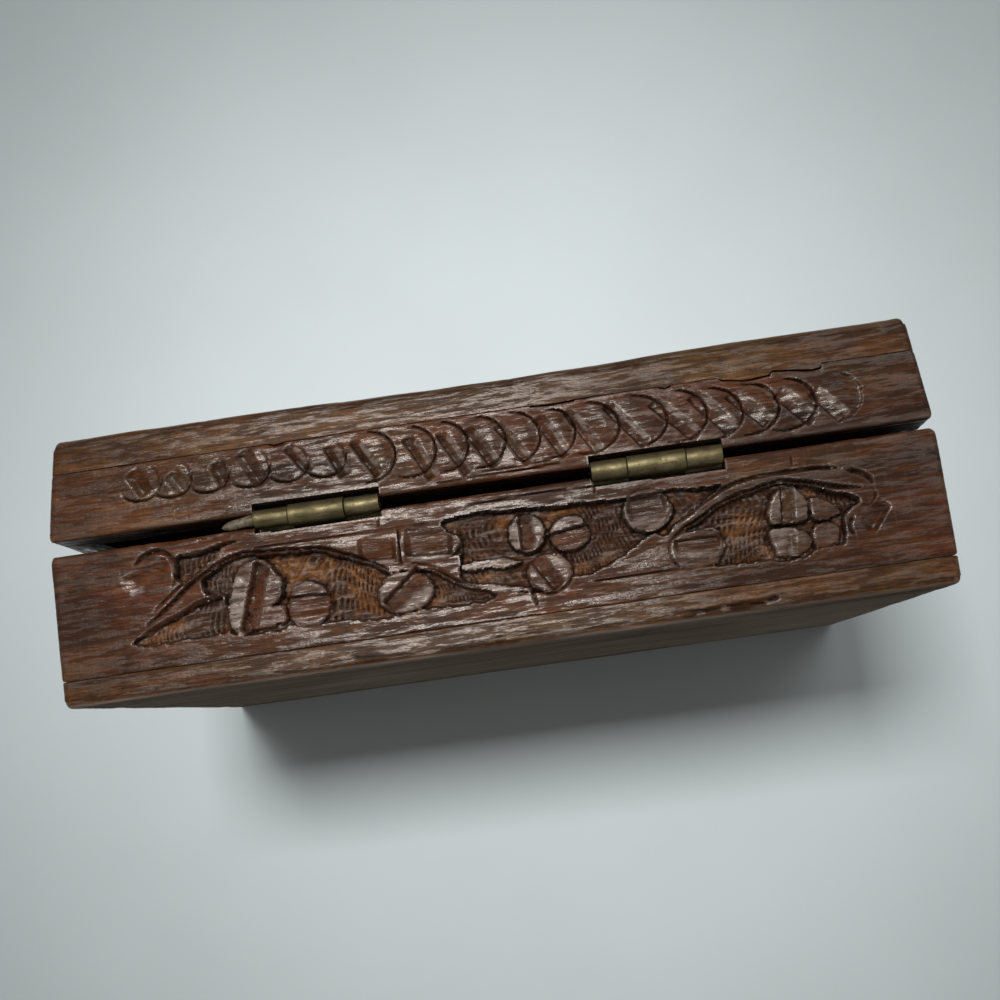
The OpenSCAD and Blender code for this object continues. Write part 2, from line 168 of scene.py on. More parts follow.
def curve(points, steps=8, closed=False):
    """Smooth curve through given points."""
    p = np.asarray(points, float)
    if closed:
        ring = np.vstack([p[-1:], p, p[:2]])
    else:
        ring = np.vstack([2 * p[0] - p[1], p, 2 * p[-1] - p[-2]])
    f = np.linspace(0, 1, steps, endpoint=False)[:, None]
    out = []
    for a, b, c, d in zip(ring, ring[1:], ring[2:], ring[3:]):
        out.append(0.5 * (2 * b + (c - a) * f + (2 * a - 5 * b + 4 * c - d) * f ** 2
                          + (3 * b - a - 3 * c + d) * f ** 3))
    return np.vstack(out if closed else out + [p[-1:]])


def oval(s, t, rs, rt, count=14):
    a = np.linspace(0, 2 * math.pi, count, endpoint=False)
    return np.stack([s + rs * np.cos(a), t + rt * np.sin(a)], -1)


def arc(s, t, rs, rt, start, end, count=9):
    a = np.radians(np.linspace(start, end, count))
    return np.stack([s + rs * np.cos(a), t + rt * np.sin(a)], -1)


def path_field(path, s, t):
    """Distance to a polyline, share of its length, and side (+ to its left)."""
    shape = np.broadcast(s, t).shape
    q = np.stack(np.broadcast_arrays(s, t), -1).reshape(-1, 2)
    step = path[1:] - path[:-1]
    lengths = np.linalg.norm(step, axis=1)
    starts = np.cumsum(lengths) - lengths
    best = np.full(len(q), 1e9)
    along = np.zeros(len(q))
    side = np.zeros(len(q))
    for a, d, length, start in zip(path[:-1], step, lengths, starts):
        if length < 1e-9:
            continue
        d = d / length
        rel = q - a
        f = np.clip(rel @ d, 0, length)
        off = rel - f[:, None] * d
        dist = np.hypot(off[:, 0], off[:, 1])
        near = dist < best
        best = np.where(near, dist, best)
        along = np.where(near, (start + f) / lengths.sum(), along)
        side = np.where(near, d[0] * rel[:, 1] - d[1] * rel[:, 0], side)
    return best.reshape(shape), along.reshape(shape), side.reshape(shape)


def loop_field(loop, s, t):
    """Distance to a closed outline, + inside it."""
    closed = np.vstack([loop, loop[:1]])
    dist = path_field(closed, s, t)[0]
    inside = np.zeros(dist.shape, bool)
    for (x0, y0), (x1, y1) in zip(closed[:-1], closed[1:]):
        if y0 != y1:
            inside ^= ((y0 > t) != (y1 > t)) & (s < (x1 - x0) * (t - y0) / (y1 - y0) + x0)
    return np.where(inside, dist, -dist)


def v_cut(off, half, low):
    """1 on the cut's lowest line, which lies at low, down to 0 on its two edges."""
    return np.clip(np.where(off < low, (off + half) / (half + low), (half - off) / (half - low)),
                   0, 1)


class Relief:
    """Depth and colour masks of a carved face over a grid of s along it and t up it, in mm."""

    def __init__(self, s, t):
        self.s, self.t = s, t
        shape = (len(s), len(t))
        self.depth = np.zeros(shape)
        self.ground = np.zeros(shape)
        self.red = np.zeros(shape)
        self.pale = np.zeros(shape)
        self.field_edge = np.full(shape, -99.0)
        self.raised_edge = np.full(shape, -99.0)
        self.raised_level = np.zeros(shape)
        self.pen()

    def pen(self, at=(0, 0), turn=0.0, flip=1, grow=1.0):
        """Where the next marks go: mirrored if flip is -1, turned, scaled and moved."""
        c, s = math.cos(math.radians(turn)), math.sin(math.radians(turn))
        self.at = np.array(at, float)
        self.spin = np.array([[c, -s], [s, c]]) @ np.diag([flip * grow, grow])
        self.flip = flip

    def put(self, points):
        return np.asarray(points, float) @ self.spin.T + self.at

    def window(self, points, margin):
        lo, hi = np.min(points, 0) - margin, np.max(points, 0) + margin
        i0, i1 = np.searchsorted(self.s, [lo[0], hi[0]])
        j0, j1 = np.searchsorted(self.t, [lo[1], hi[1]])
        return (slice(i0, i1), slice(j0, j1)), self.s[i0:i1, None], self.t[None, j0:j1]

    def field(self, points):
        """Area whose ground is sunk."""
        loop = curve(self.put(points), 5, closed=True)
        box, s, t = self.window(loop, 2.5)
        self.field_edge[box] = np.maximum(self.field_edge[box], loop_field(loop, s, t))

    def shape(self, points, level=0.0, crown=0.3, pale=0.3, round_by=0.7):
        """Leaf or petal left standing in the ground, level mm under the face; pale greys its top,
        partly wear and partly painted sheen.
        """
        loop = curve(self.put(points), 4, closed=True)
        box, s, t = self.window(loop, 2.5)
        edge = loop_field(loop, s, t)
        height = level + np.clip(1 - edge / round_by, 0, 1) ** 2 * crown
        self.raised_level[box] = np.where(edge > 0, height, self.raised_level[box])
        self.raised_edge[box] = np.maximum(self.raised_edge[box], edge)
        self.pale[box] = np.where(edge > 0, pale, self.pale[box])

    def sink(self, depth, slope=None, wall=0.2, trench=0.45):
        """Cuts the marked areas down, except where shapes stand in them.

        With a slope, the ground is deeper above the second height than under the first.
        """
        if slope is not None:
            depth = depth * (0.55 + 0.6 * ramp(self.t[None, :], *slope))
        edge = np.minimum(self.field_edge, -self.raised_edge)
        edge = edge + 0.26 * chatter.flat(self.s[:, None], self.t[None, :], 1.5, 1.2, 3.0)
        edge = edge + 0.15 * chatter.flat(self.s[:, None], self.t[None, :], 0.8, 0.7, 7.0)
        dig = trench * np.exp(-((edge - 0.75) / 0.6) ** 2)
        self.depth = ramp(edge, -0.05, wall) * depth + dig * ramp(edge, 0, 0.3)
        self.depth += np.where(self.raised_edge > 0, self.raised_level, 0)
        self.ground = ramp(edge, 0.2, 1.0)

    def punch(self, depth=0.5, pitch=1.3, row_height=3.1, turn=9.0):
        """Rows of short comb strokes over the ground."""
        s, t = self.s[:, None], self.t[None, :]
        a = np.radians(turn * (0.4 + 2.2 * lumps.flat(s, t, 17, 12, 5.0)))
        across = s * np.cos(a) + t * np.sin(a)
        up = t * np.cos(a) - s * np.sin(a) + 0.5 * lumps.flat(s, t, 7, 5, 8.0)
        row = np.floor(up / row_height)
        shift = 0.26 * chatter.flat(s, t, 3.4, 3.0, 1.0)
        wave = np.sin(2 * math.pi * (across / pitch + shift + 0.37 * row))
        gap = 0.5 - 0.5 * np.cos(2 * math.pi * up / row_height)
        force = 0.75 + 0.5 * lumps.flat(s, t, 4.0, 3.0, 12.0)
        stroke = np.clip(wave + 0.25, 0, 1) * ramp(gap, 0.02, 0.4) * force
        rough = chatter.flat(s, t, 0.9, 0.7, 9.0)
        self.depth += self.ground * depth * (stroke + 0.22 * rough)

    def groove(self, points, width, depth, lean=0.0, taper=0.2):
        """V cut along a smooth curve; lean (-1 to 1) moves its lowest line to one side."""
        path = curve(self.put(points))
        box, s, t = self.window(path, width)
        dist, along, side = path_field(path, s, t)
        signed = np.where(side > 0, dist, -dist)
        thin = np.clip(np.minimum(along, 1 - along) / taper, 0.02, 1) ** 0.7
        ragged = 1 + 0.22 * chatter.flat(s, t, 1.7, 1.7, 2.0)
        half = width / 2 * thin * ragged
        rise = v_cut(signed, half, lean * self.flip * half)
        cut = depth * rise * thin
        here = self.depth[box]
        self.depth[box] = np.where(cut > 0, np.maximum(here + 0.35 * cut, cut + 0.3 * here), here)
        self.ground[box] *= 1 - 0.7 * rise

    def gouge(self, a, b, width, depth, lean=-0.4, run_in=1.2, red=0.0, pale=0.0):
        """Straight chisel cut from a to b: two facets that meet in a low line; pale greys them, partly
        wear and partly painted sheen.
        """
        a, b = self.put([a, b])
        length = np.linalg.norm(b - a)
        d = (b - a) / length
        box, s, t = self.window(np.stack([a, b]), width)
        along = (s - a[0]) * d[0] + (t - a[1]) * d[1]
        across = d[0] * (t - a[1]) - d[1] * (s - a[0])
        half = width / 2 * (1 + 0.05 * chatter.flat(s, t, 1.6, 1.6, 6.0))
        rise = v_cut(across, half, lean * self.flip * half)
        ends = np.clip(np.minimum(along + 0.3, length + 0.3 - along) / run_in, 0, 1)
        mark = ramp(rise * ends, 0.02, 0.3)
        self.depth[box] += depth * rise ** 0.85 * ends
        self.ground[box] *= 1 - mark
        self.red[box] = np.maximum(self.red[box] * (1 - mark), red * mark)
        self.pale[box] = self.pale[box] * (1 - mark) + pale * mark


# Boards as meshes

def marks_along(length, radius, step):
    """Stations from -length/2 to length/2, closer together where the edges are rounded."""
    inner = length / 2 - max(radius, 0.3)
    middle = np.linspace(-inner, inner, max(2, int(round(2 * inner / step)) + 1))
    bend = np.sin(np.radians(np.linspace(16, 90, 6))) * max(radius, 0.3)
    return np.concatenate([-(inner + bend)[::-1], middle, inner + bend])


# Deepest chip off an edge and slow wave of a planed face, in mm
CHIP = 0.5
WAVE = 0.18
# Rings that close a board's end, as shares of its thickness
CAP_RINGS = (0.96, 0.85, 0.65, 0.45, 0.25, 0.1)


class Board:
    """A board as one closed mesh: rings round its section, swept along l.

    The outer face carries a relief on a fine grid. Lean is that face's inward slope as it rises,
    and spread is how far a board seen from its flat side widens towards its back.
    """

    def __init__(self, name, length, height, thick, step, ends=0.0, top=0.3, bottom=0.3,
                 lean=0.0, spread=0.0, edge_count=6, step_up=None, marks=(), tone=0.5):
        self.name = name
        self.length, self.height, self.thick = length, height, thick
        self.ends, self.top, self.bottom = ends, top, bottom
        self.lean, self.spread, self.tone = lean, spread, tone
        self.l = np.unique(np.concatenate([marks_along(length, ends, step), marks]))
        self.t = marks_along(height, max(top, bottom), step_up or step) + height / 2
        self.edge_count = edge_count
        self.relief = Relief(self.l, self.t)
        self.top_wave = np.zeros(len(self.l))
        self.cut_top = self.cut_low = self.damage = self.painted_shade_rim = None
        self.stain = ((0.0, 0.0),)

    def edge_radius(self, radius, wave, wave_layer, chip, chip_layer):
        """Radius along a long edge, uneven and with chips off it."""
        off = ramp(chatter.flat(self.l, self.tone * 9, chip, 1.0, chip_layer), 0.35, 1.0)
        uneven = 1 + 0.3 * lumps.flat(self.l, 0.0, wave, 1.0, wave_layer)
        return (radius * uneven + CHIP * off)[:, None]

    def inset(self, below, above, gap):
        """How far rounding draws the face in, from the distances to its top, bottom and ends."""
        r_top = self.edge_radius(self.top, 9.0, 2.0, 3.3, 1.0)
        r_low = self.edge_radius(self.bottom, 8.0, 6.0, 2.7, 8.0)
        a = np.clip(r_top - below, 0, None)
        b = np.clip(r_low - above, 0, None)
        c = np.clip(self.ends - gap, 0, None)[:, None] + 0 * below
        big = np.maximum(np.where(a > 0, r_top, 0), np.where(b > 0, r_low, 0))
        big = np.maximum(big, np.where(c > 0, self.ends, 0))
        return big - np.sqrt(np.maximum(big ** 2 - a ** 2 - b ** 2 - c ** 2, 0))

    def section(self):
        """Grid of (l, n, t), the way each point is pushed in, and the masks."""
        l, thick = self.l, self.thick
        gap = self.length / 2 - np.abs(l)
        draw = rounding(gap, self.ends) if self.ends else 0 * l
        top = (self.height - draw + self.top_wave)[:, None]
        bottom = draw[:, None]
        up = bottom + (top - bottom) * (self.t / self.height)[None, :]
        inset = self.inset(top - up, up - bottom, gap)
        wave = WAVE * lumps.flat(l[:, None], up, 24.0, 9.0, 4.0 + self.tone)
        face_n = -(self.relief.depth + inset + np.maximum(wave, 0) + self.lean * up)
        f = np.linspace(0, 1, self.edge_count + 1)[1:]
        f = np.concatenate([f[:-1], [1 - 0.35 / thick, 1 - 0.12 / thick, 1]])[None, :]
        soft = rounding((1 - f) * thick, 0.3)
        top_n = face_n[:, -1:] + (-thick - face_n[:, -1:]) * f
        top_t = up[:, -1:] - soft + self.spread * -top_n
        low_n = face_n[:, :1] + (-thick - face_n[:, :1]) * f
        low_t = up[:, :1] + soft - self.spread * -low_n
        if self.cut_top is not None:
            top_t = self.cut_top(l[:, None], top_n, top_t)
        if self.cut_low is not None:
            low_t = self.cut_low(l[:, None], low_n, low_t)
        back = np.linspace(1, 0, 8)[None, 1:-1]
        back_t = low_t[:, -1:] + (top_t[:, -1:] - low_t[:, -1:]) * back
        n = np.hstack([face_n, top_n, np.full(back_t.shape, -thick), low_n[:, ::-1][:, :-1]])
        z = np.hstack([up, top_t, back_t, low_t[:, ::-1][:, :-1]])
        parts = [len(self.t), top_n.shape[1], back_t.shape[1], low_n.shape[1] - 1]
        push = np.repeat([[-1.0, 0], [0, -1.0], [0.4, 0], [0, 1.0]], parts, axis=0)
        ll = l[:, None] * np.ones_like(n)
        near = ramp(np.abs(ll), self.length / 2 - 15, self.length / 2) * np.sign(ll)
        ll = ll - near * (self.lean * z if self.ends else 0) + near * self.spread * -n
        masks = self.masks(inset, n.shape)
        # painted shade: the rim faces at the gap between lid and base are set dark, as if in shadow
        if self.painted_shade_rim == "top":
            masks["hollow"][:, parts[0] + 1:sum(parts[:2])] = 0.8
        if self.painted_shade_rim == "bottom":
            masks["hollow"][:, -parts[3]:-1] = 0.8
        return np.stack([ll, n, z], -1), push, masks

    def masks(self, inset, shape):
        """Painted shade in hollows, worn tops greyed with painted sheen, ground, reddish marks and pale
        marks, over the whole section.

        A hollow lies under the average of the face round it and gets painted shade. A worn top lies
        over it and turns grey, partly wear and partly painted sheen.
        """
        r = self.relief
        cells = [max(1, int(0.6 / np.median(np.diff(marks)))) for marks in (self.l, self.t)]
        relief = r.depth + inset
        # painted shade where the face lies under its blurred average, like ambient occlusion; where it
        # lies over, grey of wear and painted sheen
        hollow = (relief - blurred(relief, cells)) / 0.36
        values = {"hollow": np.clip(hollow, 0, 1), "worn": np.clip(-hollow, 0, 1),
                  "ground": r.ground, "red": r.red, "pale": r.pale}
        rest = [(0, 0), (0, shape[1] - len(self.t))]
        return {key: np.pad(value, rest) for key, value in values.items()}

    def end_cap(self, ring, side, last, start):
        """Shrinking rings and a middle point that close one end; start counts the points."""
        count = len(ring)
        half = self.thick / 2
        centre = np.array([0, -half, self.height / 2])
        rel = ring[:, 1:] - centre[1:]
        points, quads = [], []
        for f in CAP_RINGS:
            far = np.maximum(np.abs(rel[:, 1]) - (1 - f) * half, 0)
            points.append(np.column_stack([ring[:, 0], centre[1] + rel[:, 0] * f,
                                           centre[2] + np.sign(rel[:, 1]) * far]))
            now = start + np.arange(count)
            quads.append(np.stack([last, now, np.roll(now, -1), np.roll(last, -1)], -1))
            last = now
            start += count
        points.append(np.array([[ring[:, 0].mean(), centre[1], centre[2]]]))
        fan = np.stack([last, np.full(count, start), np.roll(last, -1)], -1)
        way = 1 if side < 0 else -1
        return np.concatenate(points), np.concatenate(quads)[:, ::way], fan[:, ::way]

    def build(self, place, axes, origin, body, node, material, slot):
        grid, push, masks = self.section()
        stations, count = grid.shape[:2]
        i, j = np.arange(stations - 1)[:, None], np.arange(count)[None, :]
        a, b = i * count + j, i * count + (j + 1) % count
        points = [grid.reshape(-1, 3)]
        pushes = [np.tile(np.hstack([np.zeros((count, 1)), push]), (stations, 1))]
        quads = [np.stack([a, b, b + count, a + count], -1).reshape(-1, 4)]
        fans = []
        start = stations * count
        for side, row in ((-1, 0), (1, stations - 1)):
            cap, sides, fan = self.end_cap(grid[row], side, row * count + np.arange(count), start)
            points.append(cap)
            pushes.append(np.tile([-side, 0, 0], (len(cap), 1)))
            quads.append(sides)
            fans.append(fan)
            start += len(cap)
        p = np.concatenate(points)
        push = np.concatenate(pushes)
        values = {key: np.zeros(len(p)) for key in masks}
        for key, mask in masks.items():
            values[key][:mask.size] = mask.reshape(-1)
        values["tone"] = np.full(len(p), self.tone)
        values["stain"] = np.interp(2 * p[:, 0] / self.length, *zip(*self.stain))
        q = p + 40 * self.tone
        grain = 0.05 * streaks(q, (11.0, 0.9, 0.55)) + 0.04 * streaks(q, (5.0, 0.5, 0.3))
        grain += 0.05 * lumps(q, (14.0, 2.5, 1.6))
        p = p + push * (np.clip(grain + 0.05, 0, None) * (1 - values["ground"]))[:, None]
        if self.damage is not None:
            p, values = self.damage(p, values)
        faces = np.concatenate(quads).tolist() + np.concatenate(fans).tolist()
        return add_mesh(self.name, np.asarray(origin, float) + p @ axes, faces, values, place,
                        material, body, node, 50)


def put_in_scene(name, data, matrix=None):
    thing = bpy.data.objects.new(name, data)
    if matrix is not None:
        thing.matrix_world = matrix
    scene.collection.objects.link(thing)
    return thing


def add_mesh(name, points, faces, values, place, material, body, node, sharp):
    """Piece with its points in mm in the frame called place, and one attribute per mask."""
    m = np.array(place)
    mesh = bpy.data.meshes.new(name)
    mesh.from_pydata(((points @ m[:3, :3].T + m[:3, 3]) * MM).tolist(), [], faces)
    for key, value in values.items():
        layer = mesh.attributes.new(key, "FLOAT", "POINT")
        layer.data.foreach_set("value", value.astype(np.float32))
    mesh.polygons.foreach_set("use_smooth", np.ones(len(mesh.polygons), bool))
    mesh.set_sharp_from_angle(angle=math.radians(sharp))
    mesh.materials.append(material)
    piece = put_in_scene(name, mesh)
    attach(piece, body)
    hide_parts(node)
    return piece


# Materials

class Shader:
    """Adds and links the nodes of one material."""

    def __init__(self, name):
        self.material = bpy.data.materials.new(name)
        self.material.use_nodes = True
        self.nodes = self.material.node_tree.nodes
        self.surface = self.nodes["Principled BSDF"]
        self.coords = self.nodes.new("ShaderNodeTexCoord").outputs["Object"]

    def set(self, socket, value):
        if isinstance(value, bpy.types.NodeSocket):
            self.material.node_tree.links.new(value, socket)
        elif isinstance(value, tuple) and len(value) < len(socket.default_value):
            socket.default_value = (*value, 1)
        else:
            socket.default_value = value

    def add(self, kind, **inputs):
        node = self.nodes.new(kind)
        for key, value in inputs.items():
            self.set(node.inputs[key.replace("_", " ")], value)
        return node

    def mask(self, name):
        node = self.nodes.new("ShaderNodeAttribute")
        node.attribute_name = name
        return node.outputs["Fac"]

    def stretched(self, vector, scale):
        return self.add("ShaderNodeMapping", Vector=vector, Scale=scale).outputs["Vector"]

    def noise(self, vector, scale, detail=4.0, rough=0.55, distortion=0.0):
        return self.add("ShaderNodeTexNoise", Vector=vector, Scale=scale, Detail=detail,
                        Roughness=rough, Distortion=distortion).outputs["Fac"]

    def ramp(self, value, lo, hi, at_lo=0.0, at_hi=1.0):
        node = self.nodes.new("ShaderNodeMapRange")
        node.interpolation_type = "SMOOTHSTEP"
        self.set(node.inputs["Value"], value)
        for key, number in zip(("From Min", "From Max", "To Min", "To Max"),
                               (lo, hi, at_lo, at_hi)):
            node.inputs[key].default_value = number
        return node.outputs["Result"]

    def math(self, kind, a, b=0.0):
        node = self.nodes.new("ShaderNodeMath")
        node.operation = kind
        self.set(node.inputs[0], a)
        self.set(node.inputs[1], b)
        return node.outputs[0]

    def mix(self, factor, a, b):
        node = self.nodes.new("ShaderNodeMix")
        node.data_type = "RGBA"
        self.set(node.inputs[0], factor)
        self.set(node.inputs[6], a)
        self.set(node.inputs[7], b)
        return node.outputs[2]

    def times(self, a, b):
        return self.math("MULTIPLY", a, b)

    def highest(self, a, b=0.0):
        return self.math("MAXIMUM", a, b)

    def vector(self, kind, a, b):
        node = self.nodes.new("ShaderNodeVectorMath")
        node.operation = kind
        self.set(node.inputs[0], a)
        self.set(node.inputs[1], b)
        return node.outputs["Value" if kind == "DISTANCE" else "Vector"]

    def bump(self, strength, distance, *layers):
        """Bump from (height, weight) layers."""
        total = 0.0
        for height, weight in layers:
            total = self.math("ADD", total, self.times(height, weight))
        node = self.add("ShaderNodeBump", Height=total, Strength=strength, Distance=distance)
        return node.outputs["Normal"]

    def surface_is(self, **inputs):
        for key, value in inputs.items():
            self.set(self.surface.inputs[key.replace("_", " ")], value)


DARK = (0.024, 0.0080, 0.0034)


def grain_colour(m, at, wide, olive, bands, fine, pores, saw):
    """Dark bands, reddish zones, greenish blotches, lines, pores, saw marks and grime."""
    zone = m.noise(m.stretched(at, wide), 42.0, 3.0)
    blotch = m.noise(at, 30.0, 4.0, 0.6)
    grime = m.noise(at, 75.0, 5.0, 0.7)
    colour = m.mix(m.ramp(bands, 0.37, 0.61), DARK, (0.102, 0.0345, 0.0112))
    colour = m.mix(m.ramp(zone, 0.43, 0.62, 0.0, 0.85), colour, (0.124, 0.0320, 0.0095))
    colour = m.mix(m.ramp(blotch, 0.46, 0.70, olive, 0.45 + olive), colour, (0.138, 0.067, 0.016))
    colour = m.mix(m.ramp(fine, 0.40, 0.59, 0.76, 0.0), colour, DARK)
    colour = m.mix(m.ramp(pores, 0.30, 0.42, 0.75, 0.0), colour, (0.010, 0.005, 0.003))
    colour = m.mix(m.ramp(saw, 0.55, 0.72, 0.0, 0.10), colour, (0.200, 0.105, 0.060))
    return m.mix(m.ramp(grime, 0.36, 0.57, 0.64, 0.0), colour, DARK)


def filled_ground(m, at, colour, ground, speck):
    """Ochre that fills the sunk ground, and the reddish cuts."""
    patch = m.noise(at, 95.0, 3.0, 0.6)
    ochre = m.mix(m.ramp(speck, 0.34, 0.66), (0.066, 0.025, 0.0085), (0.215, 0.080, 0.0180))
    ochre = m.mix(m.ramp(patch, 0.38, 0.56, 0.0, 0.92), ochre, (0.030, 0.011, 0.0055))
    colour = m.mix(m.times(ground, 0.92), colour, ochre)
    return m.mix(m.times(m.mask("red"), 0.75), colour, (0.125, 0.042, 0.015))


def stained(m, colour):
    """Darker and redder where the stain is above 0, paler where it is below."""
    stain = m.mask("stain")
    tint = m.mix(m.highest(stain), (1.0, 1.0, 1.0), (0.30, 0.24, 0.28))
    tint = m.mix(m.highest(m.times(stain, -1.0)), tint, (2.3, 2.6, 2.0))
    return m.vector("MULTIPLY", colour, tint)


def aged(m, at, wide, colour, hollow, dull, bands):
    """Rubbed tops and pale marks turn grey, partly wear and partly painted sheen; hollows get painted
    shade, nearly black; an unpolished face is dusty.
    """
    scuff = m.noise(m.stretched(at, wide), 700.0, 4.0, 0.7)
    grey = m.mix(m.ramp(scuff, 0.42, 0.60), (0.062, 0.038, 0.026), (0.300, 0.240, 0.205))
    # grey on worn tops and pale marks: wear and painted sheen
    colour = m.mix(m.highest(m.times(m.mask("worn"), 0.28), m.mask("pale")), colour, grey)
    # painted shade: hollows nearly black
    colour = m.mix(hollow, colour, (0.005, 0.0025, 0.0015))
    dust = m.times(dull, m.ramp(bands, 0.36, 0.62, 0.40, 0.90))
    return m.mix(dust, colour, (0.36, 0.285, 0.230))


def wood(name, along, olive=0.0, rough_range=(0.42, 0.23), shine=(0.12, 0.76),
         sheen=(1.0, 0.91, 0.83)):
    """Dark rosewood with its grain along one axis; the masks come from the mesh."""
    m = Shader(name)
    tone = m.mask("tone")
    shift = m.add("ShaderNodeCombineXYZ", X=tone, Y=tone, Z=tone).outputs[0]
    at = m.vector("ADD", m.coords, shift)

    def scaled(by, others=1):
        return (by, others, others) if along == "x" else (others, by, others)

    wide = scaled(0.25)
    thin = m.stretched(at, scaled(0.07))
    short = m.stretched(at, scaled(0.14))
    bands = m.noise(thin, 230.0, 4.0, 0.6, 0.5)
    fine = m.noise(thin, 1400.0, 5.0, 0.75, 0.2)
    pores = m.noise(short, 2600.0, 2.0)
    ridges = m.noise(short, 800.0, 4.0, 0.7)
    saw = m.noise(m.stretched(at, scaled(1, 0.1)), 1100.0, 3.0, 0.6)
    speck = m.noise(at, 1000.0, 4.0, 0.7)
    ground = m.mask("ground")
    # painted shade in the hollows, for the colour and the roughness
    hollow = m.times(m.mask("hollow"), 0.93)
    dull = m.mask("dull")
    colour = grain_colour(m, at, wide, olive, bands, fine, pores, saw)
    colour = stained(m, filled_ground(m, at, colour, ground, speck))
    polish = m.times(m.highest(m.ramp(ridges, 0.44, 0.60), m.mask("worn")),
                     m.math("SUBTRACT", 1.0, dull))
    rough = m.math("ADD", m.ramp(polish, 0.0, 1.0, *rough_range), m.times(ground, 0.28))
    gloss = m.math("SUBTRACT", 1.0, m.times(dull, 0.85))
    m.surface_is(
        Base_Color=aged(m, at, wide, colour, hollow, dull, bands),
        Roughness=m.math("ADD", rough, m.times(hollow, 0.3)),
        Specular_IOR_Level=m.times(m.ramp(polish, 0.0, 1.0, *shine), gloss),
        Specular_Tint=sheen,
        Normal=m.bump(0.9, 0.00028, (fine, 0.5), (ridges, 0.8), (pores, 0.22), (saw, 0.10),
                      (m.times(speck, ground), 0.6)))
    return m.material


def brass(name):
    """Aged brass under a brown-green film, brighter where it is rubbed, with painted shade, near black,
    on the pin and inside the knuckles.
    """
    m = Shader(name)
    film = m.noise(m.coords, 170.0, 5.0, 0.65)
    spots = m.noise(m.coords, 1500.0, 3.0, 0.6)
    scratch = m.noise(m.stretched(m.coords, (0.12, 1, 1)), 1900.0, 3.0, 0.6)
    metal = m.mix(m.ramp(film, 0.36, 0.64), (0.100, 0.080, 0.037), (0.185, 0.150, 0.076))
    metal = m.mix(m.ramp(scratch, 0.50, 0.68, 0.0, 0.6), metal, (0.060, 0.040, 0.015))
    metal = m.mix(m.ramp(spots, 0.60, 0.70, 0.0, 0.8), metal, (0.030, 0.022, 0.012))
    # painted shade: near black where the hollow mask is set
    metal = m.mix(m.times(m.mask("hollow"), 0.9), metal, (0.010, 0.007, 0.004))
    tarnish = m.mix(m.ramp(spots, 0.35, 0.60), (0.060, 0.044, 0.028), (0.185, 0.148, 0.098))
    m.surface_is(
        Base_Color=m.mix(m.mask("dull"), metal, tarnish),
        Metallic=m.math("SUBTRACT", 0.85, m.mask("dull")),
        Roughness=m.ramp(film, 0.3, 0.7, 0.58, 0.42),
        Normal=m.bump(0.4, 0.00008, (film, 1.0), (scratch, 0.6)))
    return m.material


wood_long = wood("rosewood_long", "x")
wood_cross = wood("rosewood_cross", "y")
wood_board = wood("rosewood_board", "x", 0.3, (0.35, 0.28), (0.16, 0.78), (1.0, 0.88, 0.78))
aged_brass = brass("aged_brass")


# Vine of the walls, drawn as on the back: s to the right from the middle seen from outside,
# t the height over the box's underside

def vine_left_fields(r):
    r.field([(-71.6, 25.4), (-66, 27.8), (-61.5, 30.2), (-62, 32.2), (-67, 31.2), (-71.6, 30.9)])
    r.field([(-83.5, 12.6), (-80, 14.5), (-76, 16.2), (-72, 17.7), (-68, 19.4), (-64, 20.3),
        (-61.4, 20.3), (-60.8, 13), (-66, 11.8), (-73, 11.8), (-79, 11.4)])
    r.field([(-50.8, 28.6), (-44, 28.4), (-38, 27.6), (-34, 26.1), (-30, 24.5), (-26, 22.6),
        (-23, 20.7), (-20, 20.5), (-14.5, 19.9), (-10, 17.4), (-6, 15), (0, 12.9), (1.2, 12),
        (-1.5, 10.8), (-11, 10.8), (-17, 11.2), (-22, 10.3), (-27, 10.2), (-32, 10.8), (-38, 11.2),
        (-43, 10.5), (-46.4, 11.8), (-49, 10.9), (-58.6, 11.2), (-60.8, 13), (-61.4, 17), (-61.4, 21),
        (-65.5, 21.4), (-66, 25), (-62, 27.4), (-57.5, 29.1), (-54, 29.3)])
    # flower cut by a slanting band, sliced petal, disc
    r.shape([(-56.3, 27.3), (-53.8, 28.0), (-51.2, 27.4), (-49, 25), (-47.5, 21.6), (-48.2, 18.9),
        (-50.4, 17), (-54, 17), (-57.5, 20), (-58.5, 24)], 0.1)
    r.shape([(-57.8, 25.4), (-55, 22), (-54.5, 18), (-56, 12), (-58.6, 11.3), (-60.6, 14), (-60.4, 18),
        (-59.2, 22)], 0.0, pale=0.75)
    r.shape([(-56, 16.6), (-50, 16.7), (-47.8, 16.4), (-47.4, 14.6), (-48.6, 12.5), (-55.6, 12.4)],
        0.25, 0.2)
    r.shape(oval(-42, 16, 4.9, 5.3), 0.15, 0.35, 0.45)
    r.shape(oval(-19.6, 15.6, 6.4, 4.7), 0.1, 0.35, 0.6)


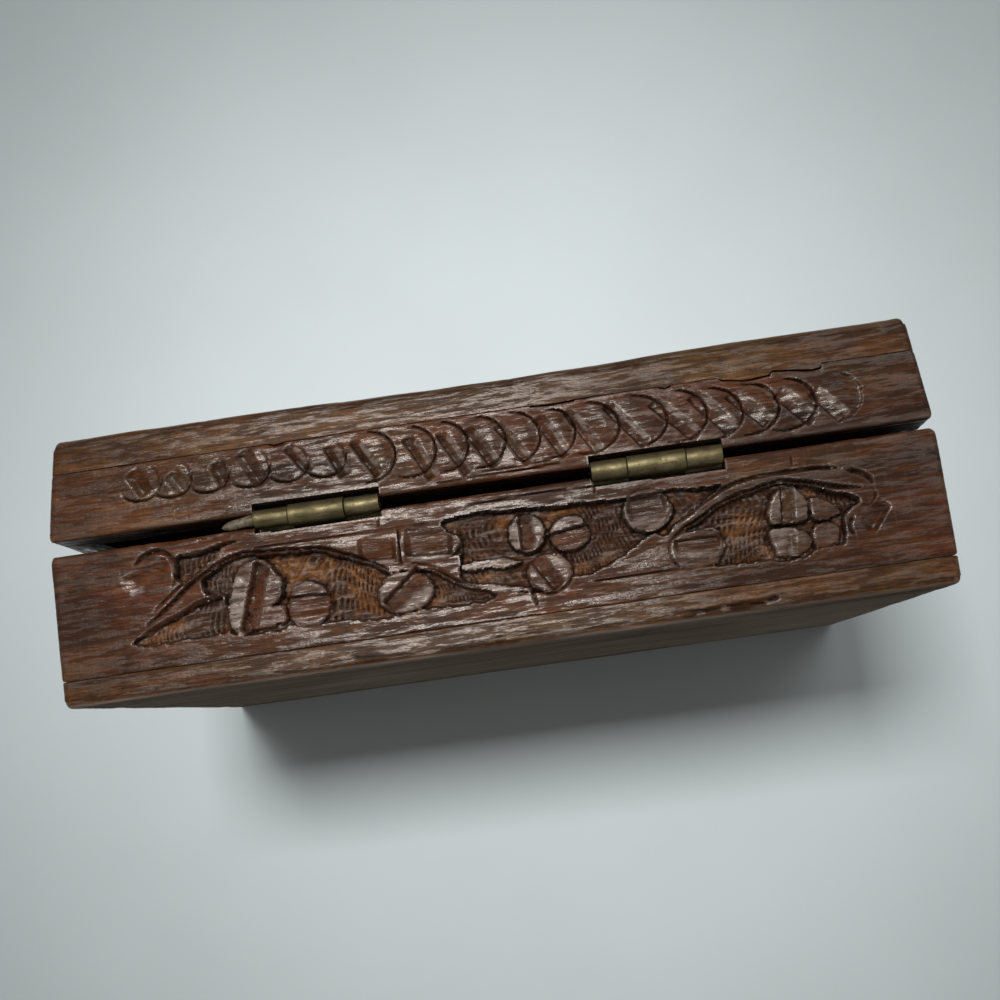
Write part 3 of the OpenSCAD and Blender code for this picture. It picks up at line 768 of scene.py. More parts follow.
def vine_left_cuts(r):
    r.groove([(-82, 30), (-79, 32.2), (-76, 33), (-73.5, 32.2), (-71.9, 29.8), (-72, 26.6),
        (-73.2, 24.4)], 1.4, 1.3, 0.3)
    r.groove([(-80.4, 31.2), (-76.5, 31.3), (-73.3, 31)], 0.5, 0.4)
    r.gouge((-84.5, 26.4), (-73.6, 28.8), 4.2, 0.9, 0.35, 3.0)
    # pale strip under the band: painted highlight on the lit facet
    r.gouge((-83, 24.2), (-79, 25.0), 1.8, 0.35, 0.0, 1.2, pale=0.8)
    r.groove([(-72, 30.9), (-68, 31.1), (-64, 31.4), (-60, 32.4), (-56.5, 32.8)], 1.4, 1.4, -0.2)
    r.groove([(-80.6, 16.1), (-76, 18.8), (-72, 21.8), (-68, 24.8), (-64, 27), (-60, 28.8), (-56, 29.6),
        (-52, 29.4), (-46, 29), (-38, 28.2), (-32, 26), (-26, 23.1), (-22, 20.6)], 1.3, 1.5, 0.3, 0.1)
    r.groove([(-83.6, 12.7), (-80, 14.6), (-76, 16.3), (-72, 17.8), (-68, 19.6), (-64, 20.5),
        (-61.4, 20.9)], 1.3, 1.3, -0.2)
    r.groove([(-56, 30.7), (-50, 30.5), (-40, 30.5), (-30, 30.4), (-20, 30.35), (-9.5, 30.4)],
        0.6, 0.5, 0, 0.1)
    r.gouge((-51.6, 26.8), (-56.6, 11.6), 4.0, 1.6, -0.6, 0.8, pale=0.06)
    r.gouge((-47.4, 16.8), (-37.2, 16.2), 3.8, 1.5, 0.75, 0.5, pale=0.1)
    r.gouge((-47.2, 14.2), (-37.4, 14.0), 1.9, 0.6, 0.0, 0.6, red=0.4)
    r.gouge((-23.6, 12.4), (-15.2, 19.4), 4.6, 1.6, 0.7, 0.6, pale=0.1)
    r.groove([(-26.4, 22.4), (-24.4, 21), (-22.6, 19.6)], 1.6, 1.2)
    # scooped leaf pair and the upright bar between them
    r.gouge((-29.0, 26.6), (-20.8, 25.8), 5.2, 1.7, -0.72, 1.0, red=0.5)
    r.gouge((-18.2, 26.6), (-7.8, 25.6), 6.6, 2.1, -0.75, 1.2, red=0.1, pale=0.1)
    # pale strips along the scoops' lower rims: painted highlight
    r.gouge((-28.6, 23.6), (-21.2, 23.0), 1.2, 0.2, 0.0, 1.0, pale=0.6)
    r.gouge((-17.6, 22.9), (-9.4, 22.4), 1.4, 0.2, 0.0, 1.0, pale=0.6)
    r.groove(arc(-8.6, 25.6, 3.4, 3.4, 80, -84), 1.3, 1.5, -0.3)
    r.groove([(-78.6, 18.9), (-74.5, 22), (-70.5, 24.8), (-67, 26.6), (-63, 28.6)], 0.7, 0.7)
    r.groove([(-19.5, 31.6), (-19.7, 26), (-19.8, 20.8)], 0.7, 0.7)
    r.groove([(-17.4, 30.6), (-17.5, 27.8)], 0.6, 0.5)
    r.groove([(-23.9, 30.9), (-24.0, 35)], 0.35, 0.3)
    r.groove([(-84.6, 20), (-84.7, 31)], 0.25, 0.2, 0, 0.1)
    # chips off the rim
    r.gouge((-77, 35.0), (-60.5, 36.4), 3.0, 0.8, -0.3, 3.0, red=0.7)
    r.gouge((-66, 33.6), (-58.5, 34.2), 1.6, 0.5, 0.2, 1.6, red=0.5)


def vine_right_fields(r):
    r.field([(-9.6, 30), (-6, 31), (0, 31.2), (5, 30.7), (12, 30.3), (20, 30), (31, 29.5), (42.5, 29.9),
        (50, 29.2), (53.5, 29.2), (50, 26.6), (46, 24.2), (42, 21.6), (40, 19.8), (36.6, 20.4),
        (31, 17.2), (26, 14.8), (21, 13.4), (18.4, 13.6), (16, 11.5), (13, 10.9), (9, 11.2), (4, 12.6),
        (0, 13.8), (-5.3, 15.6), (-6.8, 17.6), (-6.4, 21), (-5.8, 25.5), (-8.3, 27.8)])
    r.field([(41, 18.3), (44, 20.3), (48, 22.1), (52, 24.3), (56, 25.8), (60, 26.6), (64, 27.4),
        (67, 27.7), (70, 26.9), (74, 25.6), (78, 24), (82, 22.2), (82.4, 20.6), (79.5, 19), (78.6, 17),
        (78.5, 13), (76.5, 11.9), (71.5, 11.6), (69.5, 10.6), (66, 10.2), (61, 10.8), (56, 11),
        (51.5, 11.2), (49.3, 11.4), (51.8, 14), (52.2, 17), (50.5, 19.6), (46, 20)])
    r.shape([(-5.8, 19.8), (-1, 20.2), (4, 19.8), (7.2, 18.7), (4, 17.8), (-2, 18.4), (-5.6, 18.6)],
        0.1, 0.1, 0.4)
    r.shape([(-5.8, 15.6), (-1, 14.6), (4, 13.4), (8.4, 12.4), (8, 11.6), (3, 12.4), (-2, 13.6),
        (-6.2, 15)], 0.0, 0.1, 0.8)
    r.shape(oval(9.3, 25, 4.1, 4.4), 0.0, 0.35, 0.65)
    r.shape(oval(18.8, 23.5, 4.4, 4.0), 0.15, 0.35, 0.5)
    r.shape(oval(13.2, 15.3, 5.0, 4.3), 0.1, 0.35, 0.25)
    r.shape(oval(36.6, 26.1, 5.4, 4.9), 0.05, 0.35, 0.45)
    r.shape([(43, 19.9), (50, 19.4), (51.8, 17), (51.6, 14.2), (49.2, 11.6), (42, 12), (40, 17)],
        0.1, 0.4, 0.2)
    r.shape([(64, 24.6), (66, 26.6), (69, 26.4), (71.2, 23.8), (71.4, 20.5), (70, 18.8), (63.5, 18.8),
        (62.6, 21.5)], 0.15)
    r.shape([(62.6, 17.6), (67.5, 17.4), (70.4, 16), (70.9, 13.4), (68.6, 11.3), (64, 11.4),
        (62.8, 13.5)], 0.2, pale=0.45)
    r.shape([(72.2, 23.6), (75.5, 22.6), (78, 20.4), (77.8, 18.7), (72.4, 18.8)], 0.4, pale=0.05)
    r.shape([(71.8, 17), (76.6, 17.2), (77.6, 15.4), (76.2, 12.4), (72, 12.4)], 0.35, pale=0.1)


def vine_right_cuts(r):
    r.groove([(-14.5, 20.3), (-11, 18.8), (-7, 16), (-3, 14.2)], 1.2, 1.2, 0, 0.25)
    r.groove([(-18.4, 22.2), (-13, 20.6), (-8, 17.6)], 0.5, 0.5)
    r.groove([(9.0, 11.7), (13, 10.6), (16.8, 12.1), (18.6, 15.4)], 0.8, 0.9)
    r.groove([(5.4, 21.4), (8.6, 19.9), (11.8, 21)], 0.8, 0.9)
    r.groove([(22, 11.8), (32, 11.9), (42, 11.8), (49, 11.7)], 0.5, 0.45, 0, 0.05)
    r.groove([(40, 18), (44, 20.6), (48, 22.5), (52, 24.7), (56, 26.1), (60, 27), (64, 27.8), (67, 28),
        (71, 27.2), (75, 26), (79, 24.9), (84, 24)], 1.5, 1.6, 0.3, 0.1)
    r.groove([(42, 21.4), (46, 24), (50, 26.4), (54, 28.4), (60, 29.8), (68, 30), (76, 29.7),
        (80.5, 28.8)], 1.2, 1.2, 0.2, 0.12)
    r.groove([(70, 26.2), (74, 24.8), (78, 22.7), (83, 20.8)], 1.1, 1.0)
    r.groove([(80.6, 28.5), (83.2, 27.8), (85.4, 26.1), (86, 24.4)], 1.5, 1.3)
    r.groove([(48, 21.7), (54, 21.8), (60, 21.5), (64, 21.6)], 0.7, 0.8)
    r.groove([(58.8, 19.6), (61, 17), (62.2, 12)], 0.9, 0.8)
    r.groove([(61.5, 18.3), (66, 18.3), (71, 17.9), (78, 18)], 0.8, 0.8)
    r.groove([(81, 18.4), (79.6, 16), (80.6, 13.3)], 0.9, 0.8)
    r.gouge((87.6, 20.4), (83.0, 14.6), 4.2, 1.3, 0.5, 1.6)
    r.groove([(85.8, 24), (86.2, 22), (84.8, 20.2), (82.6, 20.4)], 0.6, 0.5)
    r.gouge((9.4, 29.6), (9.2, 21.2), 3.6, 1.5, -0.7, 0.6, pale=0.12)
    r.gouge((14, 22.0), (23.6, 23.4), 4.0, 1.6, 0.75, 0.6, pale=0.08)
    r.gouge((10.6, 19.2), (15, 12), 3.8, 1.4, -0.7, 0.6, pale=0.06)
    r.gouge((32.2, 26.6), (41, 27.4), 5.6, 1.3, 0.7, 1.2, pale=0.12)
    r.gouge((41.6, 16.6), (51.4, 16.7), 3.8, 1.2, 0.7, 0.8)
    r.gouge((67.6, 26.6), (66.8, 18.8), 3.3, 1.5, -0.7, 0.6, pale=0.06)
    r.gouge((66.8, 16.8), (66.4, 11.6), 2.4, 0.6, 0.0, 0.6, pale=0.5)
    r.groove([(7.5, 15.6), (8.6, 12), (9.8, 7.4)], 0.6, 0.6)
    r.groove([(25.6, 31), (25.6, 33.3)], 0.4, 0.4)
    r.groove([(-8, 33.5), (2, 33.2), (12, 33.5), (22, 33.3), (33, 33.0)], 0.5, 0.55)
    r.groove([(-3, 34.9), (6, 34.6), (15, 34.9)], 0.35, 0.4)
    r.groove([(69.5, 31), (69.5, 33.5)], 0.3, 0.3)


def carve(r, pens, fields, cuts, depth=1.75, slope=(10.5, 22)):
    """Draws the fields of every pen, sinks them all, then makes every pen's cuts."""
    for pen, draw in zip(pens, fields):
        r.pen(**pen)
        draw(r)
    r.sink(depth, slope)
    r.punch()
    for pen, draw in zip(pens, cuts):
        r.pen(**pen)
        draw(r)


def around(count, reach, turn=0.0):
    """Points of a ring of motifs."""
    for k in range(count):
        a = math.radians(turn + 360 * k / count)
        yield np.array([math.cos(a), math.sin(a)]) * reach


def flower_fields(r):
    """Eight-leaved flower on a round sunk ground."""
    r.field(oval(0, 0, 21, 21, 18))
    for at in around(8, 12.6):
        along = at / 12.6
        across = np.array([-along[1], along[0]])
        leaf = [(-7, 0.6), (-3, 2.6), (1.5, 4.1), (5, 3.2), (7.4, 0), (5, -3.2), (1.5, -4.1),
                (-3, -2.6), (-7, -0.6)]
        r.shape([at + x * along + y * across for x, y in leaf], 0.1, 0.5, 0.35)
    r.shape(oval(0, 0, 4.2, 4.2), 0.0, 0.5, 0.5)


def flower_cuts(r):
    for at in around(8, 1.0):
        r.gouge(at * 6.5, at * 18.6, 2.4, 0.9, 0.3, 2.0)
    for at in around(8, 19.6, 22.5):
        r.groove(arc(*(at * 0.93), 1.8, 1.8, 0, 300, 7), 0.7, 0.6)
    r.gouge((-3, -3), (3, 3), 2.6, 0.8, 0.3, 0.8)
    r.groove(oval(0, 0, 23.2, 23.2, 24), 0.9, 0.8, 0.0, 0.01)
    r.groove([(16.4, -16.4), (23.2, 0)], 0.2, 0.05)


# Band of overlapping rings, each ring with a slanted chisel cut through it. Heights are over
# the box's underside, up the lid's slope; the rail's lower edge lies at RAIL_LOW.
RAIL_LOW = 37.93
RING_RIGHT = (-73.5, -66.2, -57.3, -47.5, -38.4, -29.6, -18.2, -8.8, -1.3, 7.3, 15.2, 23.2,
              33.2, 44.0, 53.0, 60.8, 68.8, 77.0, 87.3)
RING_CUTS = (((-80.5, 52.2), (-77.2, 46.6)), ((-71, 50.5), (-67.5, 45.3)),
             ((-60.4, 51.4), (-57.8, 45.4)), ((-53.8, 53.2), (-49.5, 44.8)),
             ((-43, 52.7), (-38.5, 46.4)), ((-33.4, 51.4), (-30.3, 44)),
             ((-27.6, 51.8), (-22.4, 43)), ((-15, 50.8), (-10, 40.5)),
             ((-7.5, 50.8), (-2, 40.5)), ((-1, 50.8), (4.5, 41.3)), ((6, 50.8), (12, 40.8)),
             ((15.3, 51.2), (20.5, 41.3)), ((22, 51.6), (28, 41.3)), ((31, 51.8), (38.5, 41.3)),
             ((41.3, 50.9), (50, 41.3)), ((50.3, 51.2), (58, 41.6)), ((58.5, 50.2), (66, 42.3)),
             ((69, 49), (75.7, 41.3)), ((76.8, 48), (82.4, 40.9)))


def ring_band(r, rings=RING_RIGHT, cuts=RING_CUTS):
    for k, right in enumerate(rings):
        small = right < -28
        rise = 1.3 if small else 0
        rs = 5.2 if small else 6.6 + 1.0 * (right > 30)
        rt = 4.6 if small else 6.0
        mid = 47.4 + rise - 0.011 * right - (0.6 if right > 60 else 0)
        start, end = (8, -150) if small else (92, -88 - 40 * ((k * 7) % 5) / 5)
        faint = right > 85
        if faint:
            start, end = 70, 0
        r.groove(arc(right - rs, mid, rs, rt, start, end, 12), 0.75, 0.45 if faint else 1.05,
                 0.5, 0.16)
        r.groove(arc(right - rs - 1.1, mid + 0.2, rs - 0.4, rt - 0.5, 50, -80, 8), 2.4, 0.4, 0.85)
    for k, (a, b) in enumerate(cuts):
        scoop = a[0] < -45
        width = (2.6, 2.9, 2.5, 3.0)[k % 4] + (0.9 if a[0] > 40 else 0) + 1.3 * scoop
        r.gouge(a, b, width, 0.85 if scoop else 1.05, -0.35 if scoop else -0.7, 0.8)
        if not scoop:
            ab = np.array(b) - a
            off = np.array([-ab[1], ab[0]]) / np.linalg.norm(ab) * width * 0.42
            # pale strip along one side of the cut: painted highlight on its broad lit facet
            r.gouge(a + off + 0.15 * ab, b + off, width * 0.5, 0.12, 0.0, 0.7, pale=0.55)


# Boards of the box

def notch_marks(flip):
    ends = [flip * x + side * (BARREL / 2 + LEAF_GAP)
            for x in HINGE_X.values() for side in (-1, 1)]
    return [e + d for e in ends for d in (-0.03, 0.03)]


def over_hinge(l):
    """True where a board seen from the back runs past a hinge."""
    return np.any([np.abs(l + x) < BARREL / 2 + LEAF_GAP for x in HINGE_X.values()], axis=0)


def bed_and_notch(l, n):
    """Where a point n behind the face lies in a leaf's bed, and where in the knuckles' notch."""
    bed = over_hinge(l) & (n > -HINGE_INSET - LEAF_W - LEAF_GAP)
    return bed, bed & (n > -HINGE_INSET - NOTCH_R - 0.01)


def cut_notches(r, past):
    """Takes the carved face back to the notch where past says so."""
    room = over_hinge(r.s[:, None]) & past
    r.depth = np.where(room, HINGE_INSET + NOTCH_R, r.depth)
    r.ground = np.where(room, 0, r.ground)


def carve_vines(wall, flip=1):
    # painted shade on the wall's top rim face, at the gap under the lid
    wall.painted_shade_rim = "top"
    wall.relief.t = wall.relief.t + BOTTOM_T
    carve(wall.relief, [dict(flip=flip)] * 2, [vine_left_fields, vine_right_fields],
          [vine_left_cuts, vine_right_cuts])


def base_back():
    wall = Board("back_wall", BOX_W, WALL_H, WALL_T, 0.3, CORNER_R, RIM_R, 0.25,
                 edge_count=14, marks=notch_marks(-1), tone=0.13)
    carve_vines(wall)
    axis_z = HINGE_AT.z - wall.relief.s[:, None] * math.sin(HINGE_SLOPE)
    cut_notches(wall.relief, wall.relief.t[None, :] > axis_z - NOTCH_R)

    def cut_rim(l, n, t):
        axis_t = HINGE_AT.z - l * math.sin(HINGE_SLOPE) - BOTTOM_T
        bed, notch = bed_and_notch(l, n)
        t = np.where(bed, np.minimum(t, axis_t - KNUCKLE_R), t)
        return np.where(notch, np.minimum(t, axis_t - NOTCH_R), t)

    wall.cut_top = cut_rim
    wall.stain = ((-1, 0.06), (0, 0.0), (0.45, 0.06), (1, 0.22))
    wall.top_wave = -0.3 * wall.l / (BOX_W / 2)
    wall.build(BASE_FRAME, BACK, (0, BOX_D / 2, BOTTOM_T), "base", "base_rear_wall", wood_long,
               "carved_wood")


def base_front():
    wall = Board("front_wall", BOX_W, WALL_H, WALL_T, 0.36, CORNER_R, RIM_R, 0.25, tone=0.71)
    carve_vines(wall, flip=-1)
    wall.build(BASE_FRAME, FRONT, (0, -BOX_D / 2, BOTTOM_T), "base", "base_front_wall", wood_long,
               "carved_wood")


def base_end(name, axes, node, flip, tone):
    wall = Board(name, BOX_D - 2 * WALL_T, WALL_H, WALL_T, 0.36, 0, RIM_R, 0.25, tone=tone)
    # painted shade on the wall's top rim face, at the gap under the lid
    wall.painted_shade_rim = "top"
    wall.relief.t = wall.relief.t + BOTTOM_T
    carve(wall.relief, [dict(at=(42 * flip, 0), flip=flip)], [vine_left_fields],
          [vine_left_cuts])
    wall.build(BASE_FRAME, axes, axes[1] * BOX_W / 2 + (0, 0, BOTTOM_T), "base", node, wood_cross,
               "carved_wood")


def base_bottom():
    board = Board("bottom", BOX_W, BOX_D, BOTTOM_T, 0.42, OUTER_R, OUTER_R, OUTER_R,
                  edge_count=14, step_up=1.3, tone=0.37)
    split = curve([(43.5, 1.5), (48, 1.9), (54, 2.3), (58, 2.0), (61.5, 2.6)])
    split[:, 0] *= -1

    def cracked(p, values):
        values["dull"] = ramp(p[:, 1], -0.9, -0.2)
        dist = path_field(split, p[:, 0], -p[:, 1])[0]
        mark = np.exp(-(dist / 0.32) ** 2) * (p[:, 2] < 1.5)
        p[:, 2] += 0.7 * mark
        # painted shade along the crack
        values["hollow"] = np.maximum(values["hollow"], mark)
        return p, values

    board.damage = cracked
    board.build(BASE_FRAME, UNDER, (0, BOX_D / 2, 0), "base", "bottom_board", wood_board,
                "board_wood")


# The lid's boards are placed over the hinge line, in the lid's own frame
LID_Y = -HINGE_AT.y


# Where splinters have come off along the joint behind the lid's top board: distance to the
# right of the middle seen from behind, and how far the joint dips there
JOINT = ((-104, 0), (-47.5, 0), (-46, -0.4), (-43.5, 0), (13, 0), (18, -0.35), (25, 0),
         (43, 0), (44.5, -0.45), (46, 0), (56.5, 0), (57.5, -0.6), (60, -0.9), (62, -1.3),
         (64, -1.3), (68, -0.9), (68.6, -0.1), (72, -0.4), (77.5, -1.1), (79.3, -0.9),
         (79.7, 0), (90, 0), (104, 0))
# Hollow in the top's back edge
SAG = ((-104, 0), (-52, 0), (-24, -0.45), (4, -0.8), (18, -0.75), (31, -0.6), (45, -0.15),
       (58, 0), (104, 0))


def dip(table, u):
    return np.interp(u, *zip(*table))


def splintered_rail(p, values):
    shift = dip(JOINT, p[:, 0])
    near = ramp(p[:, 2], RAIL_H - 3.0, RAIL_H) * ramp(p[:, 1], -4.0, -1.5)
    open_by = np.where(shift < -0.05, 0.28, 0.0)
    p[:, 2] += near * (shift - open_by)
    return p, values


def worn_top(p, values):
    height = p[:, 2].max()
    u = -p[:, 0]
    rear = ramp(p[:, 2], height - 4.0, height - 0.5)
    low = ramp(-p[:, 1], LID_BOARD_T - 3.0, LID_BOARD_T)
    p[:, 1] += rear * low * dip(JOINT, u)
    back = ramp(p[:, 2], height - 40.0, height)
    p[:, 1] += back * (1 - ramp(-p[:, 1], 0.0, LID_BOARD_T)) * dip(SAG, u)
    return p, values


def lid_rail(name, length, step, ends, tone, **more):
    rail = Board(name, length, RAIL_H, WALL_T, step, ends, 0.25, RIM_R, LEAN, tone=tone, **more)
    # painted shade on the rail's lower rim face, at the gap over the base
    rail.painted_shade_rim = "bottom"
    rail.relief.t = rail.relief.t + RAIL_LOW
    return rail


def lid_back():
    rail = lid_rail("back_rail", BOX_W, 0.3, CORNER_R, 0.52, edge_count=14, marks=notch_marks(-1))
    r = rail.relief
    ring_band(r)
    # splits along the lower edge between the hinges
    r.groove([(-12, 39.0), (-2, 39.3), (10, 39.4), (21.5, 39.9)], 0.5, 0.7)
    r.groove([(-4, 40.6), (6, 40.3), (14, 40.6), (21.0, 40.8)], 0.35, 0.45)
    cut_notches(r, r.t[None, :] < RAIL_LOW + NOTCH_R - LID_OVER_HINGE)

    def cut_rim(l, n, t):
        bed, notch = bed_and_notch(l, n)
        t = np.where(bed, np.maximum(t, KNUCKLE_R - LID_OVER_HINGE), t)
        return np.where(notch, np.maximum(t, NOTCH_R - LID_OVER_HINGE), t)

    rail.cut_low = cut_rim
    rail.stain = ((-1, -0.36), (-0.7, -0.28), (-0.5, 0.22), (-0.1, 0.0), (0.5, 0.2), (1, 0.46))
    rail.damage = splintered_rail
    rail.build(LID_FRAME, BACK, (0, HINGE_INSET, LID_OVER_HINGE), "lid", "lid_rear_rail",
               wood_long, "carved_wood")


def lid_front():
    rail = lid_rail("front_rail", BOX_W, 0.36, CORNER_R, 0.87)
    rail.relief.pen(flip=-1)
    ring_band(rail.relief)
    rail.build(LID_FRAME, FRONT, (0, LID_Y - BOX_D / 2, LID_OVER_HINGE), "lid", "lid_front_rail",
               wood_long, "carved_wood")


def lid_end(name, axes, node, tone):
    rail = lid_rail(name, BOX_D - 2 * WALL_T, 0.36, 0, tone)
    rail.relief.pen(at=(-23, 0))
    ring_band(rail.relief, RING_RIGHT[6:17], RING_CUTS[6:17])
    rail.build(LID_FRAME, axes, axes[1] * BOX_W / 2 + (0, LID_Y, LID_OVER_HINGE), "lid", node,
               wood_cross, "carved_wood")


def lid_top():
    top_in = 2 * (RAIL_H + LID_BOARD_T) * LEAN
    board = Board("top_board", BOX_W - top_in, BOX_D - top_in, LID_BOARD_T, 0.55, OUTER_R,
                  OUTER_R, OUTER_R, spread=LEAN, edge_count=14, tone=0.29)
    r = board.relief
    middle = (BOX_D - top_in) / 2
    sprays = [dict(at=(-8, middle - 54.5)), dict(at=(8, middle - 54.5), flip=-1),
              dict(at=(-8, middle + 54.5), turn=180, flip=-1),
              dict(at=(8, middle + 54.5), turn=180)]
    centre = [dict(at=(0, middle))]
    carve(r, sprays + centre, [vine_left_fields] * 4 + [flower_fields],
          [vine_left_cuts] * 4 + [flower_cuts], 1.5, None)
    for side in (-1, 1):
        r.pen(at=(side * 4, middle - 47), flip=side)
        ring_band(r, RING_RIGHT[12:], RING_CUTS[13:])
    r.pen()
    edge_s, edge_t = (BOX_W - top_in) / 2 - 5.5, middle - 5.5
    for inset, width in ((0, 0.9), (2.0, 0.5)):
        a, b = edge_s - inset, edge_t - inset
        corners = [(-a, middle - b), (a, middle - b), (a, middle + b), (-a, middle + b)]
        for start, end in zip(corners, corners[1:] + corners[:1]):
            r.groove([start, end], width, width * 0.8, 0.0, 0.004)
    board.damage = worn_top
    origin = (0, LID_Y - BOX_D / 2 + top_in / 2, LID_OVER_HINGE + RAIL_H + LID_BOARD_T)
    board.build(LID_FRAME, TOP, origin, "lid", "lid_top_board", wood_board, "board_wood")


base_back()
base_front()
base_end("right_wall", RIGHT, "base_right_wall", 1, 0.45)
base_end("left_wall", LEFT, "base_left_wall", -1, 0.61)
base_bottom()
lid_back()
lid_front()
lid_end("right_rail", RIGHT, "lid_right_rail", 0.19)
lid_end("left_rail", LEFT, "lid_left_rail", 0.95)
lid_top()


# Hinges

def joined(parts):
    """Points and faces of several grids as one mesh."""
    points, faces, start = [], [], 0
    for p, f in parts:
        points.append(np.asarray(p, float))
        faces += [tuple(i + start for i in face) for face in f]
        start += len(p)
    return np.concatenate(points), faces


def grid_faces(rows, columns, closed=False, flip=False):
    out = []
    for i in range(rows - 1):
        for j in range(columns if closed else columns - 1):
            k = (j + 1) % columns
            face = (i * columns + j, i * columns + k, (i + 1) * columns + k,
                    (i + 1) * columns + j)
            out.append(face[::-1] if flip else face)
    return out


def rolled(outer, inner, x0, x1, bevel=0.14):
    """Strip of sheet along X whose section is given as matching outer and inner points."""
    inner, outer = np.asarray(inner, float), np.asarray(outer, float)
    middle = (inner + outer) / 2
    xs = [x0, x0 + bevel * 0.4, x0 + bevel]
    xs += list(np.linspace(x0, x1, 14)[1:-1])
    xs += [x1 - bevel, x1 - bevel * 0.4, x1]
    rings = []
    for x in xs:
        near = min(x - x0, x1 - x)
        squeeze = min(near / bevel, 1)
        draw = bevel / LEAF_T * 2 * (1 - math.sqrt(1 - (1 - squeeze) ** 2)) if squeeze < 1 else 0
        section = np.vstack([middle + (outer - middle) * (1 - draw),
                             (middle + (inner - middle) * (1 - draw))[::-1]])
        rings.append(np.hstack([np.full((len(section), 1), x), section]))
    count = len(rings[0])
    half = count // 2
    faces = grid_faces(len(rings), count, closed=True)
    last = (len(rings) - 1) * count
    for k in range(half - 1):
        cap = (k, k + 1, count - 2 - k, count - 1 - k)
        faces.append(cap[::-1])
        faces.append(tuple(last + c for c in cap))
    return np.concatenate(rings), faces


def closed_tube(rings):
    """Skin over rings that follow one another along X, closed at both ends."""
    count = len(rings[0])
    faces = grid_faces(len(rings), count, closed=True, flip=True)
    faces.append(tuple(range(count)))
    faces.append(tuple(range((len(rings) - 1) * count, len(rings) * count))[::-1])
    return np.concatenate(rings), faces


def lathe(profile):
    """Turned solid about X from (x, radius) pairs."""
    a = np.linspace(0, 2 * math.pi, 28, endpoint=False)
    return closed_tube([np.stack([np.full(28, x), r * np.cos(a), r * np.sin(a)], -1)
                        for x, r in profile])


def knuckle(x0, x1, radius):
    """Sheet rolled round the pin, from the plate over the top to a seam behind it."""
    turn = np.radians(np.linspace(90, -196, 34))
    around_pin = np.stack([np.cos(turn), np.sin(turn)], -1)
    flat = np.linspace(-2.95, -0.35, 4)
    outer = np.vstack([np.stack([flat, np.full(4, radius)], -1), around_pin * radius])
    inner = np.vstack([np.stack([flat, np.full(4, radius - LEAF_T)], -1),
                       around_pin * (radius - LEAF_T)])
    return rolled(outer, inner, x0, x1)


def plate():
    ys = np.linspace(-LEAF_W, -KNUCKLE_R - LEAF_GAP, 9)
    outer = np.stack([ys, np.full(9, KNUCKLE_R)], -1)
    inner = np.stack([ys, np.full(9, KNUCKLE_R - LEAF_T)], -1)
    return rolled(outer, inner, -BARREL / 2, BARREL / 2, 0.1)


HEAD_R = 1.33


def screw():
    """Slotted countersunk screw: head in z = 0, shank upwards."""
    line = np.array([-1, -0.8, -0.6, -0.4, -0.165, -0.15, 0.15, 0.165, 0.4, 0.6, 0.8, 1])
    n = len(line)
    a, b = np.meshgrid(line, line, indexing="ij")
    slot = np.where(np.abs(a) < 0.16, 0.38, 0.0) * (np.abs(b) < 0.99)
    head = np.stack([a * np.sqrt(1 - b * b / 2), b * np.sqrt(1 - a * a / 2), slot], -1)
    head[..., :2] *= HEAD_R
    head[..., 2] += 0.10 * (a * a + b * b) / 2
    points = [head.reshape(-1, 3)]
    faces = grid_faces(n, n)
    ring = [i * n for i in range(n)] + [(n - 1) * n + j for j in range(1, n)]
    ring += [i * n + n - 1 for i in range(n - 2, -1, -1)] + [j for j in range(n - 2, 0, -1)]
    rim = head.reshape(-1, 3)[ring]
    start, last = n * n, ring
    threads = [(0.9, 0.75)] + [(1.3 + 0.3 * j, 0.75 if j % 2 else 0.58) for j in range(17)]
    for z, r in [(0.16, 1.30)] + threads + [(6.6, 0.4), (7.0, 0.06)]:
        points.append(np.column_stack([rim[:, :2] * r / HEAD_R, np.full(len(rim), z)]))
        now = list(range(start, start + len(rim)))
        for j in range(len(rim)):
            m = (j + 1) % len(rim)
            faces.append((last[j], last[m], now[m], now[j]))
        start, last = start + len(rim), now
    faces.append(tuple(last))
    return np.concatenate(points), faces


def tail():
    """Flattened end of the sheet that sticks out of the barrel into the gap."""
    count = 16
    a = np.linspace(0, 2 * math.pi, count, endpoint=False)
    rings = []
    for f in np.linspace(0, 1, 14):
        x = BARREL / 2 + 0.1 + 7.9 * f
        blunt = math.sqrt(1 - f ** 4)
        high = 0.3 * (1 - f) + 0.97 * blunt + 0.12
        deep = 0.3 * (1 - f) + 0.85 * blunt + 0.12
        drop = 0.9 * f ** 1.3
        ring = np.stack([np.full(count, x), deep * np.cos(a) - 0.1, high * np.sin(a) - drop], -1)
        ring[:, 2] += 0.08 * np.sin(3 * f * math.pi + a)
        rings.append(ring)
    return closed_tube(rings)


def add_fitting(name, parts, place, flip, body, node, dull=None):
    points, faces = joined(parts)
    if flip:
        points = points * (1, 1, -1)
        faces = [face[::-1] for face in faces]
    radius = np.hypot(points[:, 1], points[:, 2])
    dents = 0.05 * np.abs(lumps(points, (2.2, 1.6, 1.6)))
    away = points[:, 1:] / np.maximum(radius, 1e-6)[:, None]
    points[:, 1:] -= away * (dents * (radius > 1.5) * (radius < 2.6))[:, None]
    # painted shade on the pin and the inside of the knuckles
    values = {"hollow": np.where((radius < 2.0) & (np.abs(points[:, 1]) < 2.0), 0.6, 0.0),
              "dull": np.zeros(len(points)) if dull is None else dull(points)}
    return add_mesh(name, points, faces, values, place, aged_brass, body, node, 35)


